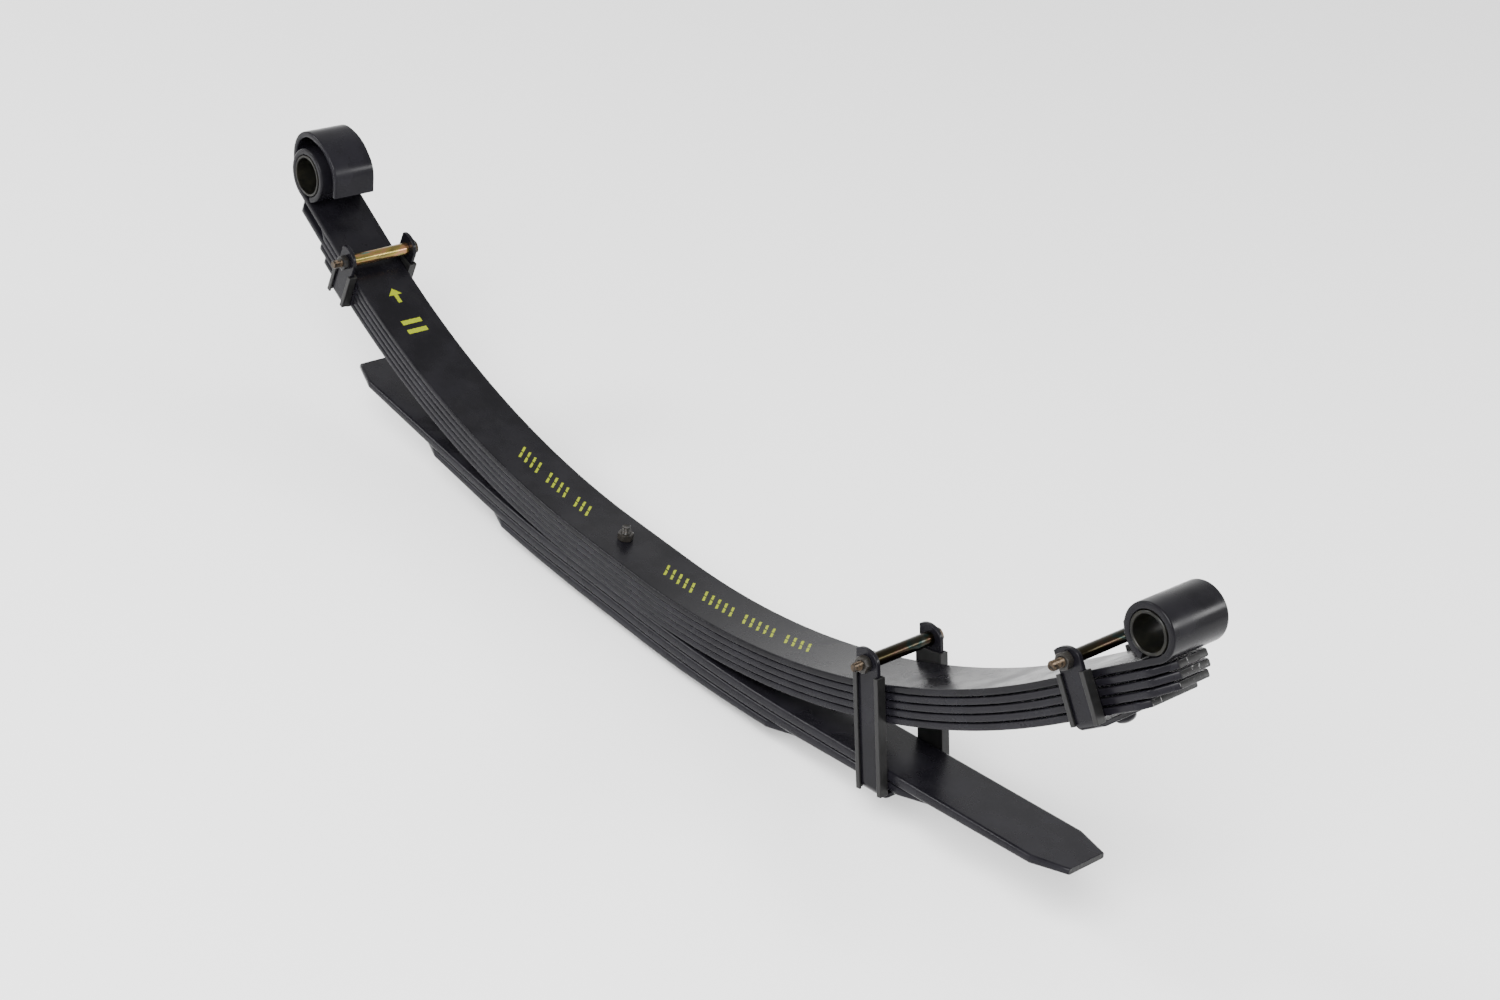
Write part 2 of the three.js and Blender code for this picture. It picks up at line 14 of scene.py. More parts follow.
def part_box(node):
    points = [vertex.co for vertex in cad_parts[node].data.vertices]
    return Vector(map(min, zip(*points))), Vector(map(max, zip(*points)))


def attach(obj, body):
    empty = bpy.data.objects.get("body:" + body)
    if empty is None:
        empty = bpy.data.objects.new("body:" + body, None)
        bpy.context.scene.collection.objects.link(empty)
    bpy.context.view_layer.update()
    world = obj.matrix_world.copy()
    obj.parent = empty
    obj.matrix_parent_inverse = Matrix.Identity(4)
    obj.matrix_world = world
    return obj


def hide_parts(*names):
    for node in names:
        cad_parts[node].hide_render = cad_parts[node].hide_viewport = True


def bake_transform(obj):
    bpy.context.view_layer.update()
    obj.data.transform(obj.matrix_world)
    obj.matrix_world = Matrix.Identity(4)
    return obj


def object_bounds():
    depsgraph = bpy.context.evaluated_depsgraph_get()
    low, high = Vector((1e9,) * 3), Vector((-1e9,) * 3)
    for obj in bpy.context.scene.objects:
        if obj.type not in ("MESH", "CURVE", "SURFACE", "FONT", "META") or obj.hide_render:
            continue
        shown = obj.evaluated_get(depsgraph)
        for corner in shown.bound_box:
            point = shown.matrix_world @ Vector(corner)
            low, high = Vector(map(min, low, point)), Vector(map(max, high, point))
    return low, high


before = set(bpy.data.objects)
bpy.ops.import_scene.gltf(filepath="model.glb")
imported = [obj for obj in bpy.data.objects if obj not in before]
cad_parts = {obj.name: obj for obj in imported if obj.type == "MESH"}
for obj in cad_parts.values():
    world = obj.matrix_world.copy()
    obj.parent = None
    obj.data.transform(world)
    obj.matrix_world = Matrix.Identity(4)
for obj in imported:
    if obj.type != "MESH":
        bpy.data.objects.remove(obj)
cad_low, cad_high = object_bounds()
MM = 0.001

# %% [markdown]
# The camera comes first. It stands above the rear end, on the near (-Y) side, and looks down along the
# spring with a short telephoto lens, so the far eye comes out only a little smaller than the near one.
# A camera looks along its own -Z axis, so its matrix is right, up and the opposite of forward.

# %% Camera
camera_data = bpy.data.cameras.new("camera")
camera_data.sensor_width = 36
camera_data.lens = 60.741
camera = bpy.data.objects.new("camera", camera_data)
bpy.context.scene.collection.objects.link(camera)
camera_right = Vector((0.64601, 0.75405, 0.11864))
camera_up = Vector((-0.44831, 0.24900, 0.85849))
camera_back = Vector((0.61781, -0.60779, 0.49891))
turn = Matrix((camera_right, camera_up, camera_back)).transposed().to_4x4()
camera.matrix_world = Matrix.Translation((1.4620, -1.2892, 1.2478)) @ turn
bpy.context.scene.camera = camera
print("camera at", camera.location)

# %% [markdown]
# ## The line of the pack
# A leaf is a flat bar bent to a rule: flat where the axle clamps it, then one long arc, then straight.
# Distances run along the top of the pack from the centre bolt. The heights of the two packs are read
# from the frame, and the radii are the spring's own.

# %% The rule of a leaf's side view
WIDTH = 60
MAIN_T = 6
HELPER_T = 9.5
GAP = 0.3
HELPER_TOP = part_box("centre_bolt")[0].z / MM + 38.1
MAIN_TOP = HELPER_TOP + 5 * (MAIN_T + GAP)
MAIN_FRONT = dict(side=-1, flat=24.6, radius=845, bend=418.1, top=MAIN_TOP, opening=0.2, reach=531)
MAIN_REAR = dict(side=1, flat=56.3, radius=719.5, bend=491.2, top=MAIN_TOP, opening=1.1, reach=660)
HELPER_FRONT = dict(side=-1, flat=50, radius=1400, bend=126, top=HELPER_TOP)
HELPER_REAR = dict(side=1, flat=67, radius=1640, bend=203, top=HELPER_TOP)


def slope_at(arm, distance):
    return min(max(distance - arm["flat"], 0), arm["bend"]) / arm["radius"]


def line_point(arm, distance, depth):
    slope = slope_at(arm, distance)
    straight = max(distance - arm["flat"] - arm["bend"], 0)
    along = min(distance, arm["flat"]) + arm["radius"] * math.sin(slope) + straight * math.cos(slope)
    rise = arm["radius"] * (1 - math.cos(slope)) + straight * math.sin(slope)
    x = arm["side"] * (along + depth * math.sin(slope))
    return Vector((x, arm["top"] + rise - depth * math.cos(slope)))


def main_depth(arm, leaf, distance):
    return (leaf - 1) * (MAIN_T + GAP + arm["opening"] * (distance / arm["reach"]) ** 2)


print("main pack ends near", line_point(MAIN_FRONT, 531, 0), line_point(MAIN_REAR, 667.7, 0))

# %% [markdown]
# Each eye is the end of leaf 1 rolled up over a mandrel, and leaf 2 wraps loosely round the front eye.
# Both go on from the arm's line, so they are written in the eye's own frame: out along the leaf and
# up square to it.

# %% Eyes and wrapper
FRONT_EYE = dict(arm=MAIN_FRONT, at=531, bore=20.8, sleeve=(20.3, 18.0), node="front_sleeve")
REAR_EYE = dict(arm=MAIN_REAR, at=667.7, bore=17.4, sleeve=(16.9, 14.3), node="rear_sleeve")
CURL_END = math.radians(227)
WRAP_KNOTS = [(14, -28.5), (25.5, -21.5), (33, -11.5), (38, 0), (37.5, 14),
              (28.5, 27), (12, 34), (-2.5, 35.3), (-18, 31.7), (-26, 28.3)]
WRAP_END, WRAP_FILLET = (-37.5, 8.5), 9


def eye_point(eye, out, up):
    arm = eye["arm"]
    slope = slope_at(arm, eye["at"])
    centre = line_point(arm, eye["at"], -eye["bore"])
    out_axis = Vector((arm["side"] * math.cos(slope), math.sin(slope)))
    up_axis = Vector((-arm["side"] * math.sin(slope), math.cos(slope)))
    return centre + out_axis * out + up_axis * up


def curl(eye):
    steps = 72
    angles = [-math.pi / 2 + (i + 1) * (CURL_END + math.pi / 2) / steps for i in range(steps)]
    return [eye_point(eye, eye["bore"] * math.cos(a), eye["bore"] * math.sin(a)) for a in angles]


def through_knots(knots, steps):
    """A smooth path through the knots, whose direction at each is that between its neighbours."""
    points = []
    for i in range(len(knots) - 1):
        before, start = Vector(knots[max(i - 1, 0)]), Vector(knots[i])
        end, after = Vector(knots[i + 1]), Vector(knots[min(i + 2, len(knots) - 1)])
        pull_start, pull_end = (end - before) / 2, (after - start) / 2
        for k in range(1, steps + 1):
            t = k / steps
            points.append(start * (2 * t**3 - 3 * t**2 + 1) + end * (3 * t**2 - 2 * t**3)
                          + pull_start * (t**3 - 2 * t**2 + t) + pull_end * (t**3 - t**2))
    return points


def wrapper_path():
    start = (0, -FRONT_EYE["bore"] - main_depth(MAIN_FRONT, 2, FRONT_EYE["at"]) - MAIN_T / 2)
    path = through_knots([start, *WRAP_KNOTS], 8)
    corner, into, end = path[-1], path[-9], Vector(WRAP_END)
    away = corner + (end - corner).normalized() * WRAP_FILLET
    turn_points = [into * (1 - t) ** 2 + corner * 2 * t * (1 - t) + away * t**2
                   for t in (0.125, 0.25, 0.375, 0.5, 0.625, 0.75, 0.875, 1)]
    straight = [away.lerp(end, t) for t in (0.5, 1)]
    return [eye_point(FRONT_EYE, *p) for p in [*path[:-8], *turn_points, *straight]]


print("wrapper path has", len(wrapper_path()), "points")

# %% [markdown]
# A bar's own length matters now, because the blanks are cut flat and bent afterwards, as in the
# rolling shop. `Line` keeps the side view as a chain of points together with the length along it.

# %% A leaf's line, with its length
class Line:
    """Points from the front end to the rear end, and how long the bar is at each of them."""

    def __init__(self, front, rear):
        front_marks, front_points = zip(*front)
        rear_marks, rear_points = zip(*rear)
        self.points = [*reversed(front_points[1:]), *rear_points]
        self.marks = [*(-m for m in reversed(front_marks[1:])), *rear_marks]
        self.lengths = [0.0]
        for a, b in zip(self.points, self.points[1:]):
            self.lengths.append(self.lengths[-1] + (b - a).length)
        self.bolt_at = self.lengths[len(front_points) - 1]

    def length_at(self, mark):
        """Signed length of bar from the bolt to a distance along the pack."""
        for i in range(len(self.marks) - 1):
            low, high = self.marks[i], self.marks[i + 1]
            if low <= mark <= high:
                share = (mark - low) / (high - low)
                here = self.lengths[i] + share * (self.lengths[i + 1] - self.lengths[i])
                return here - self.bolt_at
        raise ValueError(f"{mark} is not on this line")

    @property
    def front_end(self):
        return -self.bolt_at

    @property
    def rear_end(self):
        return self.lengths[-1] - self.bolt_at


def span(arm, depth_at, tip, extra=()):
    """(distance, point) from the bolt to a tip, and on along any extra points past it."""
    steps = math.ceil(tip / 5)
    marks = [tip * i / steps for i in range(steps + 1)]
    found = [(m, line_point(arm, m, depth_at(m))) for m in marks]
    for k, point in enumerate(extra):
        found.append((tip + 1 + k, point))
    return found


def main_line(leaf, offset, front_tip, rear_tip, front_extra=(), rear_extra=()):
    def depth(arm):
        return lambda d: main_depth(arm, leaf, d) + offset
    return Line(span(MAIN_FRONT, depth(MAIN_FRONT), front_tip, front_extra),
                span(MAIN_REAR, depth(MAIN_REAR), rear_tip, rear_extra))


LINES = {
    1: main_line(1, 0, FRONT_EYE["at"], REAR_EYE["at"], curl(FRONT_EYE), curl(REAR_EYE)),
    2: main_line(2, MAIN_T / 2, FRONT_EYE["at"], 672, wrapper_path()),
    3: main_line(3, 0, 536, 671),
    4: main_line(4, 0, 493, 667),
    5: main_line(5, 0, 480, 644),
}
for leaf, front_tip, rear_tip, flatter in ((6, 403, 568, 1), (7, 286, 425, 1), (8, 173, 267, 1.04)):
    arms = [dict(arm, radius=arm["radius"] * flatter) for arm in (HELPER_FRONT, HELPER_REAR)]
    sides = [span(arm, lambda d, k=(leaf - 6) * (HELPER_T + GAP): k, tip)
             for arm, tip in zip(arms, (front_tip, rear_tip))]
    LINES[leaf] = Line(*sides)
for leaf, line in LINES.items():
    print(f"leaf {leaf}: {line.rear_end - line.front_end:.0f} mm of bar")

# %% [markdown]
# ## The blank
# A spring bar is rolled with round edges, which is what catches the light along every leaf. A blank is
# lofted from sections: two flats joined by round sides, with one extra point next to each round so
# that the flats stay flat when shaded smooth. The sheared ends get their own faces, marked `cut_face`.
# Every vertex of a round side gets an `edge` value, 1 near a tip and less along the leaf, which the
# paint reads later to chip there first.

# %% Loft a blank
ROUND_STEPS = 4


def section(half, top, bottom, radius):
    points, edge = [], []
    corners = ((1, top, 1, 90), (1, bottom, -1, 0), (-1, bottom, -1, -90), (-1, top, 1, 180))
    for side, level, up, start in corners:
        centre = (side * (half - radius), level - up * radius)
        arc = []
        for k in range(ROUND_STEPS + 1):
            a = math.radians(start - 90 * k / ROUND_STEPS)
            arc.append((centre[0] + radius * math.cos(a), centre[1] + radius * math.sin(a)))
        support = (side * (half - radius - 0.5), level)
        opens_flat = (side > 0) == (up > 0)
        points += [support, *arc] if opens_flat else [*arc, support]
        marks = [1.0] * len(arc)
        edge += [0.0, *marks] if opens_flat else [*marks, 0.0]
    return points, edge


def loft(stations):
    """A closed bar from (x, half width, top, bottom, edge radius) stations, in millimetres."""
    mesh = bmesh.new()
    edge_layer = mesh.verts.layers.float.new("edge")
    cut_layer = mesh.faces.layers.bool.new("cut_face")
    uv_layer = mesh.loops.layers.uv.new("along")
    rings = []
    for x, half, top, bottom, radius in stations:
        points, edge = section(half, top, bottom, radius)
        ring = []
        for (y, z), worn in zip(points, edge):
            vertex = mesh.verts.new((x * MM, y * MM, z * MM))
            vertex[edge_layer] = worn
            ring.append(vertex)
        rings.append(ring)
    count = len(rings[0])
    for a, b in zip(rings, rings[1:]):
        for k in range(count):
            mesh.faces.new((a[k], a[(k + 1) % count], b[(k + 1) % count], b[k]))
    for ring in (rings[0], rings[-1]):
        cap = mesh.faces.new(ring)
        cap[cut_layer] = True
    tips = [x for x in (stations[0][0], stations[-1][0]) if x]
    for ring, (x, *_) in zip(rings, stations):
        near_tip = any(abs(x - tip) < 30 for tip in tips)
        for vertex in ring:
            vertex[edge_layer] *= 1.0 if near_tip else 0.72
    for ring, x in ((rings[0], stations[0][0]), (rings[-1], stations[-1][0])):
        for vertex in ring:
            vertex[edge_layer] = 1.0 if x else vertex[edge_layer]
    for face in mesh.faces:
        face.smooth = not face[cut_layer]
        for loop in face.loops:
            loop[uv_layer].uv = (loop.vert.co.x, loop.vert.co.y + 0.3 * loop.vert.co.z)
    bmesh.ops.recalc_face_normals(mesh, faces=mesh.faces)
    return mesh


def linked(name, mesh):
    """A new object at the origin holding a bmesh."""
    data = bpy.data.meshes.new(name)
    mesh.to_mesh(data)
    mesh.free()
    made = bpy.data.objects.new(name, data)
    bpy.context.scene.collection.objects.link(made)
    return made


test_points, _ = section(30, 0, -6, 2.2)
print("a section has", len(test_points), "points")

# %% [markdown]
# The blank's ends follow the shears: blunt ends lose two corners, helper ends are drawn to a spear
# point. Helpers are also rolled thinner towards their tips, on the underside.

# %% Stations of each blank
BLUNT = (18, 14)
SHORT = (8, 5)
SPEAR = (32, 10)
TAPER = ((150, HELPER_T), (33, 7.5), (0, 5.7))


def spaced(start, end, step, extra=()):
    count = max(1, math.ceil((end - start) / step))
    found = {round(start + (end - start) * i / count, 4) for i in range(count + 1)}
    found |= {round(e, 4) for e in extra if start < e < end}
    return sorted(found)


def helper_thickness(left):
    for (far, thick), (near, thin) in zip(TAPER, TAPER[1:]):
        if left >= near:
            return thin + (thick - thin) * min(1, (left - near) / (far - near))
    return TAPER[-1][1]


def half_blank(reach, width_at, top, thickness_at, marks, edge):
    """Stations from the bolt (0) out to a tip, whose last two are a small broken edge."""
    rows = []
    for x in marks:
        thick = thickness_at(reach - x)
        rows.append((x, width_at(x), top, top - thick, min(edge, 0.37 * thick)))
    x, half, high, low, radius = rows.pop()
    rows.append((x - 0.5, width_at(x - 0.5), high, low, radius))
    rows.append((x, half - 0.4, high - 0.45, low + 0.45, radius * 0.7))
    return rows


def cut_width(reach, cut):
    length, side = cut
    return lambda x: WIDTH / 2 - side * max(0, x - (reach - length)) / length


def mirrored(rows):
    return [(-x, *rest) for x, *rest in reversed(rows)]


def plain_half(reach, cut, thickness_at, edge):
    marks = spaced(0, reach, 7, [reach - cut[0], reach - 33, reach - 150])
    return half_blank(reach, cut_width(reach, cut), 0, thickness_at, marks, edge)


print("helper tip thickness", helper_thickness(0), "body", helper_thickness(400))

# %% [markdown]
# ## Bending
# One Geometry Nodes tree bends every blank. It reads the blank's X as a length along the leaf's line,
# samples the line there, and stands each point off it by the blank's own height. Up is the line's
# tangent crossed with Y, so the same tree rolls an eye as well as it bends the long arc.

# %% Helpers that build trees
def new_tree(name, inputs):
    tree = bpy.data.node_groups.new(name, "GeometryNodeTree")
    tree.interface.new_socket("Geometry", in_out="INPUT", socket_type="NodeSocketGeometry")
    for label, kind, value in inputs:
        socket = tree.interface.new_socket(label, in_out="INPUT", socket_type=kind)
        if value is not None:
            socket.default_value = value
    tree.interface.new_socket("Geometry", in_out="OUTPUT", socket_type="NodeSocketGeometry")
    return tree


def feed(tree, made, **inputs):
    """Each input is a value to set, or a socket to link from. Names use _ for spaces, or i and a number."""
    for key, value in inputs.items():
        numbered = key[0] == "i" and key[1:].isdigit()
        slot = made.inputs[int(key[1:]) if numbered else key.replace("_", " ")]
        if isinstance(value, bpy.types.NodeSocket):
            tree.links.new(value, slot)
        else:
            slot.default_value = value
    return made


def node(tree, kind, settings=None, **inputs):
    made = tree.nodes.new(kind)
    for key, value in (settings or {}).items():
        setattr(made, key, value)
    return feed(tree, made, **inputs)


def math_node(tree, operation, first, second=None):
    inputs = dict(i0=first) if second is None else dict(i0=first, i1=second)
    return node(tree, "ShaderNodeMath", {"operation": operation}, **inputs).outputs[0]


def times(tree, first, second):
    return math_node(tree, "MULTIPLY", first, second)


def plus(tree, first, second):
    return math_node(tree, "ADD", first, second)


def minus(tree, first, second):
    return math_node(tree, "SUBTRACT", first, second)


def vector_node(tree, operation, first, **inputs):
    return node(tree, "ShaderNodeVectorMath", {"operation": operation}, i0=first, **inputs).outputs[0]


def parts_of(tree, vector):
    return node(tree, "ShaderNodeSeparateXYZ", i0=vector).outputs


print("tree helpers ready")

# %% The bending tree
def bending_tree():
    tree = new_tree("bend_to_line", [
        ("Line", "NodeSocketObject", None), ("Bolt At", "NodeSocketFloat", 0.5),
        ("Finish", "NodeSocketMaterial", None), ("Cut Finish", "NodeSocketMaterial", None)])
    given = tree.nodes.new("NodeGroupInput").outputs
    place = tree.nodes.new("GeometryNodeInputPosition").outputs[0]
    x, y, z = parts_of(tree, place)
    reach = plus(tree, x, given["Bolt At"])
    line = node(tree, "GeometryNodeObjectInfo", {"transform_space": "ORIGINAL"}, Object=given["Line"])
    sample = node(tree, "GeometryNodeSampleCurve", {"mode": "LENGTH", "use_all_curves": True},
                  Curves=line.outputs["Geometry"], Length=reach)
    up = vector_node(tree, "CROSS_PRODUCT", sample.outputs["Tangent"], i1=(0, 1, 0))
    across = node(tree, "ShaderNodeCombineXYZ", Y=y).outputs[0]
    aside = vector_node(tree, "ADD", vector_node(tree, "SCALE", up, Scale=z), i1=across)
    target = vector_node(tree, "ADD", sample.outputs["Position"], i1=aside)
    bent = node(tree, "GeometryNodeSetPosition", Geometry=given["Geometry"], Position=target).outputs[0]
    single = node(tree, "GeometryNodeRealizeInstances", Geometry=bent).outputs[0]
    painted = node(tree, "GeometryNodeSetMaterial", Geometry=single, Material=given["Finish"]).outputs[0]
    is_cut = node(tree, "GeometryNodeInputNamedAttribute", {"data_type": "BOOLEAN"}, Name="cut_face")
    done = node(tree, "GeometryNodeSetMaterial", Geometry=painted, Selection=is_cut.outputs["Attribute"],
                Material=given["Cut Finish"]).outputs[0]
    node(tree, "NodeGroupOutput", i0=done)
    return tree


BEND = bending_tree()
print("bending tree has", len(BEND.nodes), "nodes")

# %% [markdown]
# A tree's result becomes a plain mesh through the evaluated object, and the modifier goes away. Inputs
# are set by the sockets' identifiers, which never change, rather than their names.

# %% Run a tree, or modifiers, and keep the plain mesh
def bake(obj):
    """Replaces an object's mesh by its evaluated one and removes its modifiers."""
    bpy.context.view_layer.update()
    graph = bpy.context.evaluated_depsgraph_get()
    baked = bpy.data.meshes.new_from_object(
        obj.evaluated_get(graph), preserve_all_data_layers=True, depsgraph=graph)
    baked.name = obj.name
    obj.modifiers.clear()
    obj.data = baked
    return obj


def with_tree(obj, tree, **values):
    modifier = obj.modifiers.new("tree", "NODES")
    modifier.node_group = tree
    names = {item.name: item.identifier for item in tree.interface.items_tree if item.in_out == "INPUT"}
    for key, value in values.items():
        modifier[names[key.replace("_", " ")]] = value
    return bake(obj)


def line_object(line):
    """The line as a curve for the tree to sample. It is removed once its leaf is bent."""
    curve = bpy.data.curves.new("line", "CURVE")
    curve.dimensions = "3D"
    spline = curve.splines.new("POLY")
    spline.points.add(len(line.points) - 1)
    for point, (x, z) in zip(spline.points, line.points):
        point.co = (x * MM, 0, z * MM, 1)
    made = bpy.data.objects.new("line", curve)
    bpy.context.scene.collection.objects.link(made)
    return made


print("ready to bend")

# %% [markdown]
# ## Finishes
# The same few effects turn up on every part, so each is a node group: a paint's fine grain, chips that
# follow the `edge` mask, and dust that settles on what faces up. They give out masks and heights only;
# each material keeps its own Principled shader.

# %% Shader helpers
def group(name, inputs, outputs):
    tree = bpy.data.node_groups.new(name, "ShaderNodeTree")
    for label, kind, value in inputs:
        socket = tree.interface.new_socket(label, in_out="INPUT", socket_type=kind)
        if value is not None:
            socket.default_value = value
    for label, kind in outputs:
        tree.interface.new_socket(label, in_out="OUTPUT", socket_type=kind)
    return tree, tree.nodes.new("NodeGroupInput").outputs, tree.nodes.new("NodeGroupOutput").inputs


VECTOR, FLOAT = "NodeSocketVector", "NodeSocketFloat"


def noise(tree, vector, scale, detail=3.0, roughness=0.5):
    return node(tree, "ShaderNodeTexNoise", Vector=vector, Scale=scale, Detail=detail,
                Roughness=roughness).outputs[0]


def stretched_noise(tree, vector, stretch, detail, roughness=0.5):
    longer = node(tree, "ShaderNodeMapping", Vector=vector, Scale=stretch).outputs[0]
    return noise(tree, longer, 1.0, detail, roughness)


def ramp(tree, value, low, high, to_low=0.0, to_high=1.0):
    return node(tree, "ShaderNodeMapRange", {"interpolation_type": "SMOOTHSTEP"},
                i0=value, i1=low, i2=high, i3=to_low, i4=to_high).outputs[0]


def mix(tree, share, first, second):
    return node(tree, "ShaderNodeMix", {"data_type": "RGBA"}, i0=share, i6=first, i7=second).outputs[2]


def grey(value, warm=0.0):
    """A grey, turned towards gold by a positive warm and towards violet by a negative one."""
    return (value * (1 + max(warm, 0)), value * (1 + min(warm, 0) * 0.25), value * (1 - warm), 1)


print("a warm grey", grey(0.5, 0.1))

# %% [markdown]
# Three effects are shared. Grain is a fine noise for bumps and a slow one for cloudiness. Chips multiply
# two sizes of noise by the edge mask, so that they come in clusters and only where a bar is exposed.
# Dust is clouds and specks, kept to what faces up. Each could be drawn into every material by hand, but
# a group keeps them alike and lets each material choose its own scale and amount.

# %% Shared effects
def normal_up(tree):
    return parts_of(tree, node(tree, "ShaderNodeNewGeometry").outputs["Normal"])[2]


def grain_group():
    tree, given, out = group("film_grain", [("Vector", VECTOR, None), ("Scale", FLOAT, 900)],
                             [("Height", FLOAT), ("Cloud", FLOAT)])
    coarse = times(tree, given["Scale"], 0.03)
    tree.links.new(noise(tree, given["Vector"], given["Scale"], 3.0, 0.6), out["Height"])
    tree.links.new(noise(tree, given["Vector"], coarse, 4.0, 0.55), out["Cloud"])
    return tree


def chips_group():
    tree, given, out = group("edge_chips", [
        ("Vector", VECTOR, None), ("Edge", FLOAT, 0), ("Scale", FLOAT, 260), ("Amount", FLOAT, 0.5)],
        [("Mask", FLOAT)])
    spots = noise(tree, given["Vector"], given["Scale"], 5.0, 0.65)
    patches = noise(tree, given["Vector"], times(tree, given["Scale"], 0.12), 2.0)
    both = times(tree, spots, plus(tree, patches, 0.5))
    limit = minus(tree, 0.9, times(tree, given["Amount"], 0.5))
    over = minus(tree, times(tree, both, given["Edge"]), limit)
    tree.links.new(ramp(tree, over, 0.0, 0.03), out["Mask"])
    return tree


def dust_group():
    tree, given, out = group("dust", [
        ("Vector", VECTOR, None), ("Scale", FLOAT, 40), ("Amount", FLOAT, 0.3)], [("Mask", FLOAT)])
    facing_up = ramp(tree, normal_up(tree), 0.2, 1.0)
    clouds = ramp(tree, noise(tree, given["Vector"], given["Scale"], 6.0, 0.7), 0.42, 0.8)
    finer = times(tree, given["Scale"], 22)
    specks = ramp(tree, noise(tree, given["Vector"], finer, 1.0), 0.68, 0.78)
    cover = math_node(tree, "MAXIMUM", clouds, specks)
    amount = times(tree, cover, given["Amount"])
    tree.links.new(times(tree, amount, facing_up), out["Mask"])
    return tree


GRAIN, CHIPS, DUST = grain_group(), chips_group(), dust_group()


def use(tree, shared, **values):
    return node(tree, "ShaderNodeGroup", {"node_tree": shared}, **values).outputs


def new_material(name):
    made = bpy.data.materials.new(name)
    made.use_nodes = True
    tree = made.node_tree
    shader = tree.nodes["Principled BSDF"]
    coords = tree.nodes.new("ShaderNodeTexCoord").outputs["Object"]
    return made, tree, shader, coords


def bumped(tree, height, distance, strength):
    return node(tree, "ShaderNodeBump", Height=height, Distance=distance, Strength=strength).outputs[0]


print("shared groups", [g.name for g in (GRAIN, CHIPS, DUST)])

# %% [markdown]
# Satin black paint over rolled steel. The film is dark with a faint cloudiness, its roughness drifts,
# and it carries an orange-peel grain. Chips on the edges let grey steel through, and dust lightens the
# upward faces. A noise stretched along the bar's UV map gives the draw marks that show under the paint.

# %% Paint
STENCIL_YELLOW = (0.2, 0.235, 0.006, 1)


def paint(name, dark, light, rough, chip_amount, dust_amount, draw=0.2, marks=None):
    made, tree, shader, coords = new_material(name)
    grain = use(tree, GRAIN, Vector=coords, Scale=1100)
    edge = node(tree, "ShaderNodeAttribute", {"attribute_name": "edge"}).outputs["Fac"]
    chip = use(tree, CHIPS, Vector=coords, Edge=edge, Scale=260, Amount=chip_amount)["Mask"]
    dusty = use(tree, DUST, Vector=coords, Scale=38, Amount=dust_amount)["Mask"]
    along = node(tree, "ShaderNodeUVMap", {"uv_map": "along"}).outputs[0]
    drawn = stretched_noise(tree, along, (6, 700, 1), 3.0)
    color = mix(tree, ramp(tree, grain["Cloud"], 0.35, 0.7), grey(dark, -0.25), grey(light, -0.25))
    color = mix(tree, dusty, color, grey(0.09, 0.02))
    rough_now = ramp(tree, grain["Cloud"], 0.3, 0.75, rough - 0.05, rough + 0.09)
    rough_now = plus(tree, rough_now, times(tree, dusty, 0.25))
    if marks:
        sprayed = marks(tree, coords)
        color = mix(tree, sprayed, color, STENCIL_YELLOW)
        rough_now = plus(tree, rough_now, times(tree, sprayed, 0.2))
    height = plus(tree, times(tree, grain["Height"], 0.5),
                       times(tree, drawn, draw))
    height = minus(tree, height, times(tree, chip, 1.6))
    feed(tree, shader, Base_Color=mix(tree, chip, color, grey(0.42, 0.02)), Roughness=rough_now,
         Metallic=times(tree, chip, 0.85), Specular_IOR_Level=0.1,
         Normal=bumped(tree, height, 0.00001, 0.35))
    return made


print("paint ready")

# %% [markdown]
# The top leaf carries sprayed stencil marks: an arrow to the front eye, two plain bars, and two rows of
# slanted tally bars, each broken along the middle by the stencil's bridge. One group draws a rectangle
# in the leaf's plan, with its outline shaken by noise so that the paint's edge looks sprayed. The
# arrow's head is half of a square that stands on its corner.

# %% Stencil marks
SPRAY_BLUR = 0.00025


def bar_group():
    tree, given, out = group("stencil_bar", [
        ("Vector", VECTOR, None), ("X", FLOAT, 0), ("Y", FLOAT, 0), ("Length", FLOAT, 0.01),
        ("Width", FLOAT, 0.002), ("Turn", FLOAT, 0)], [("Mask", FLOAT)])
    x, y, _ = parts_of(tree, given["Vector"])
    dx, dy = minus(tree, x, given["X"]), minus(tree, y, given["Y"])
    cos, sin = math_node(tree, "COSINE", given["Turn"]), math_node(tree, "SINE", given["Turn"])

    def turned(operation, first, second):
        return math_node(tree, operation, times(tree, first, cos),
                         times(tree, second, sin))

    inside = []
    along, across = turned("ADD", dx, dy), turned("SUBTRACT", dy, dx)
    for distance, size in ((along, given["Length"]), (across, given["Width"])):
        past = minus(tree, math_node(tree, "ABSOLUTE", distance),
                         times(tree, size, 0.5))
        inside.append(ramp(tree, past, -SPRAY_BLUR, SPRAY_BLUR, 1.0, 0.0))
    tree.links.new(times(tree, *inside), out["Mask"])
    return tree


BAR = bar_group()
# Each mark is x, y, length, width in millimetres and a turn in degrees.
ARROW_SHAFT = (-373, 1, 10, 4.2, 0)
ARROW_HEAD = (-377, 1, 10.5, 10.5, 45)
TALLY = (0, 17, 2.3, 127)
TALLY_FRONT = [(-158 + 8.6 * i, *TALLY) for i in range(13) if i % 5 != 4]
TALLY_REAR = [(60 + 8.8 * i, *TALLY) for i in range(22) if i % 6 != 5]
TWO_BARS = [(-334, -1, 22, 5, 90), (-345, -1, 22, 5, 90)]


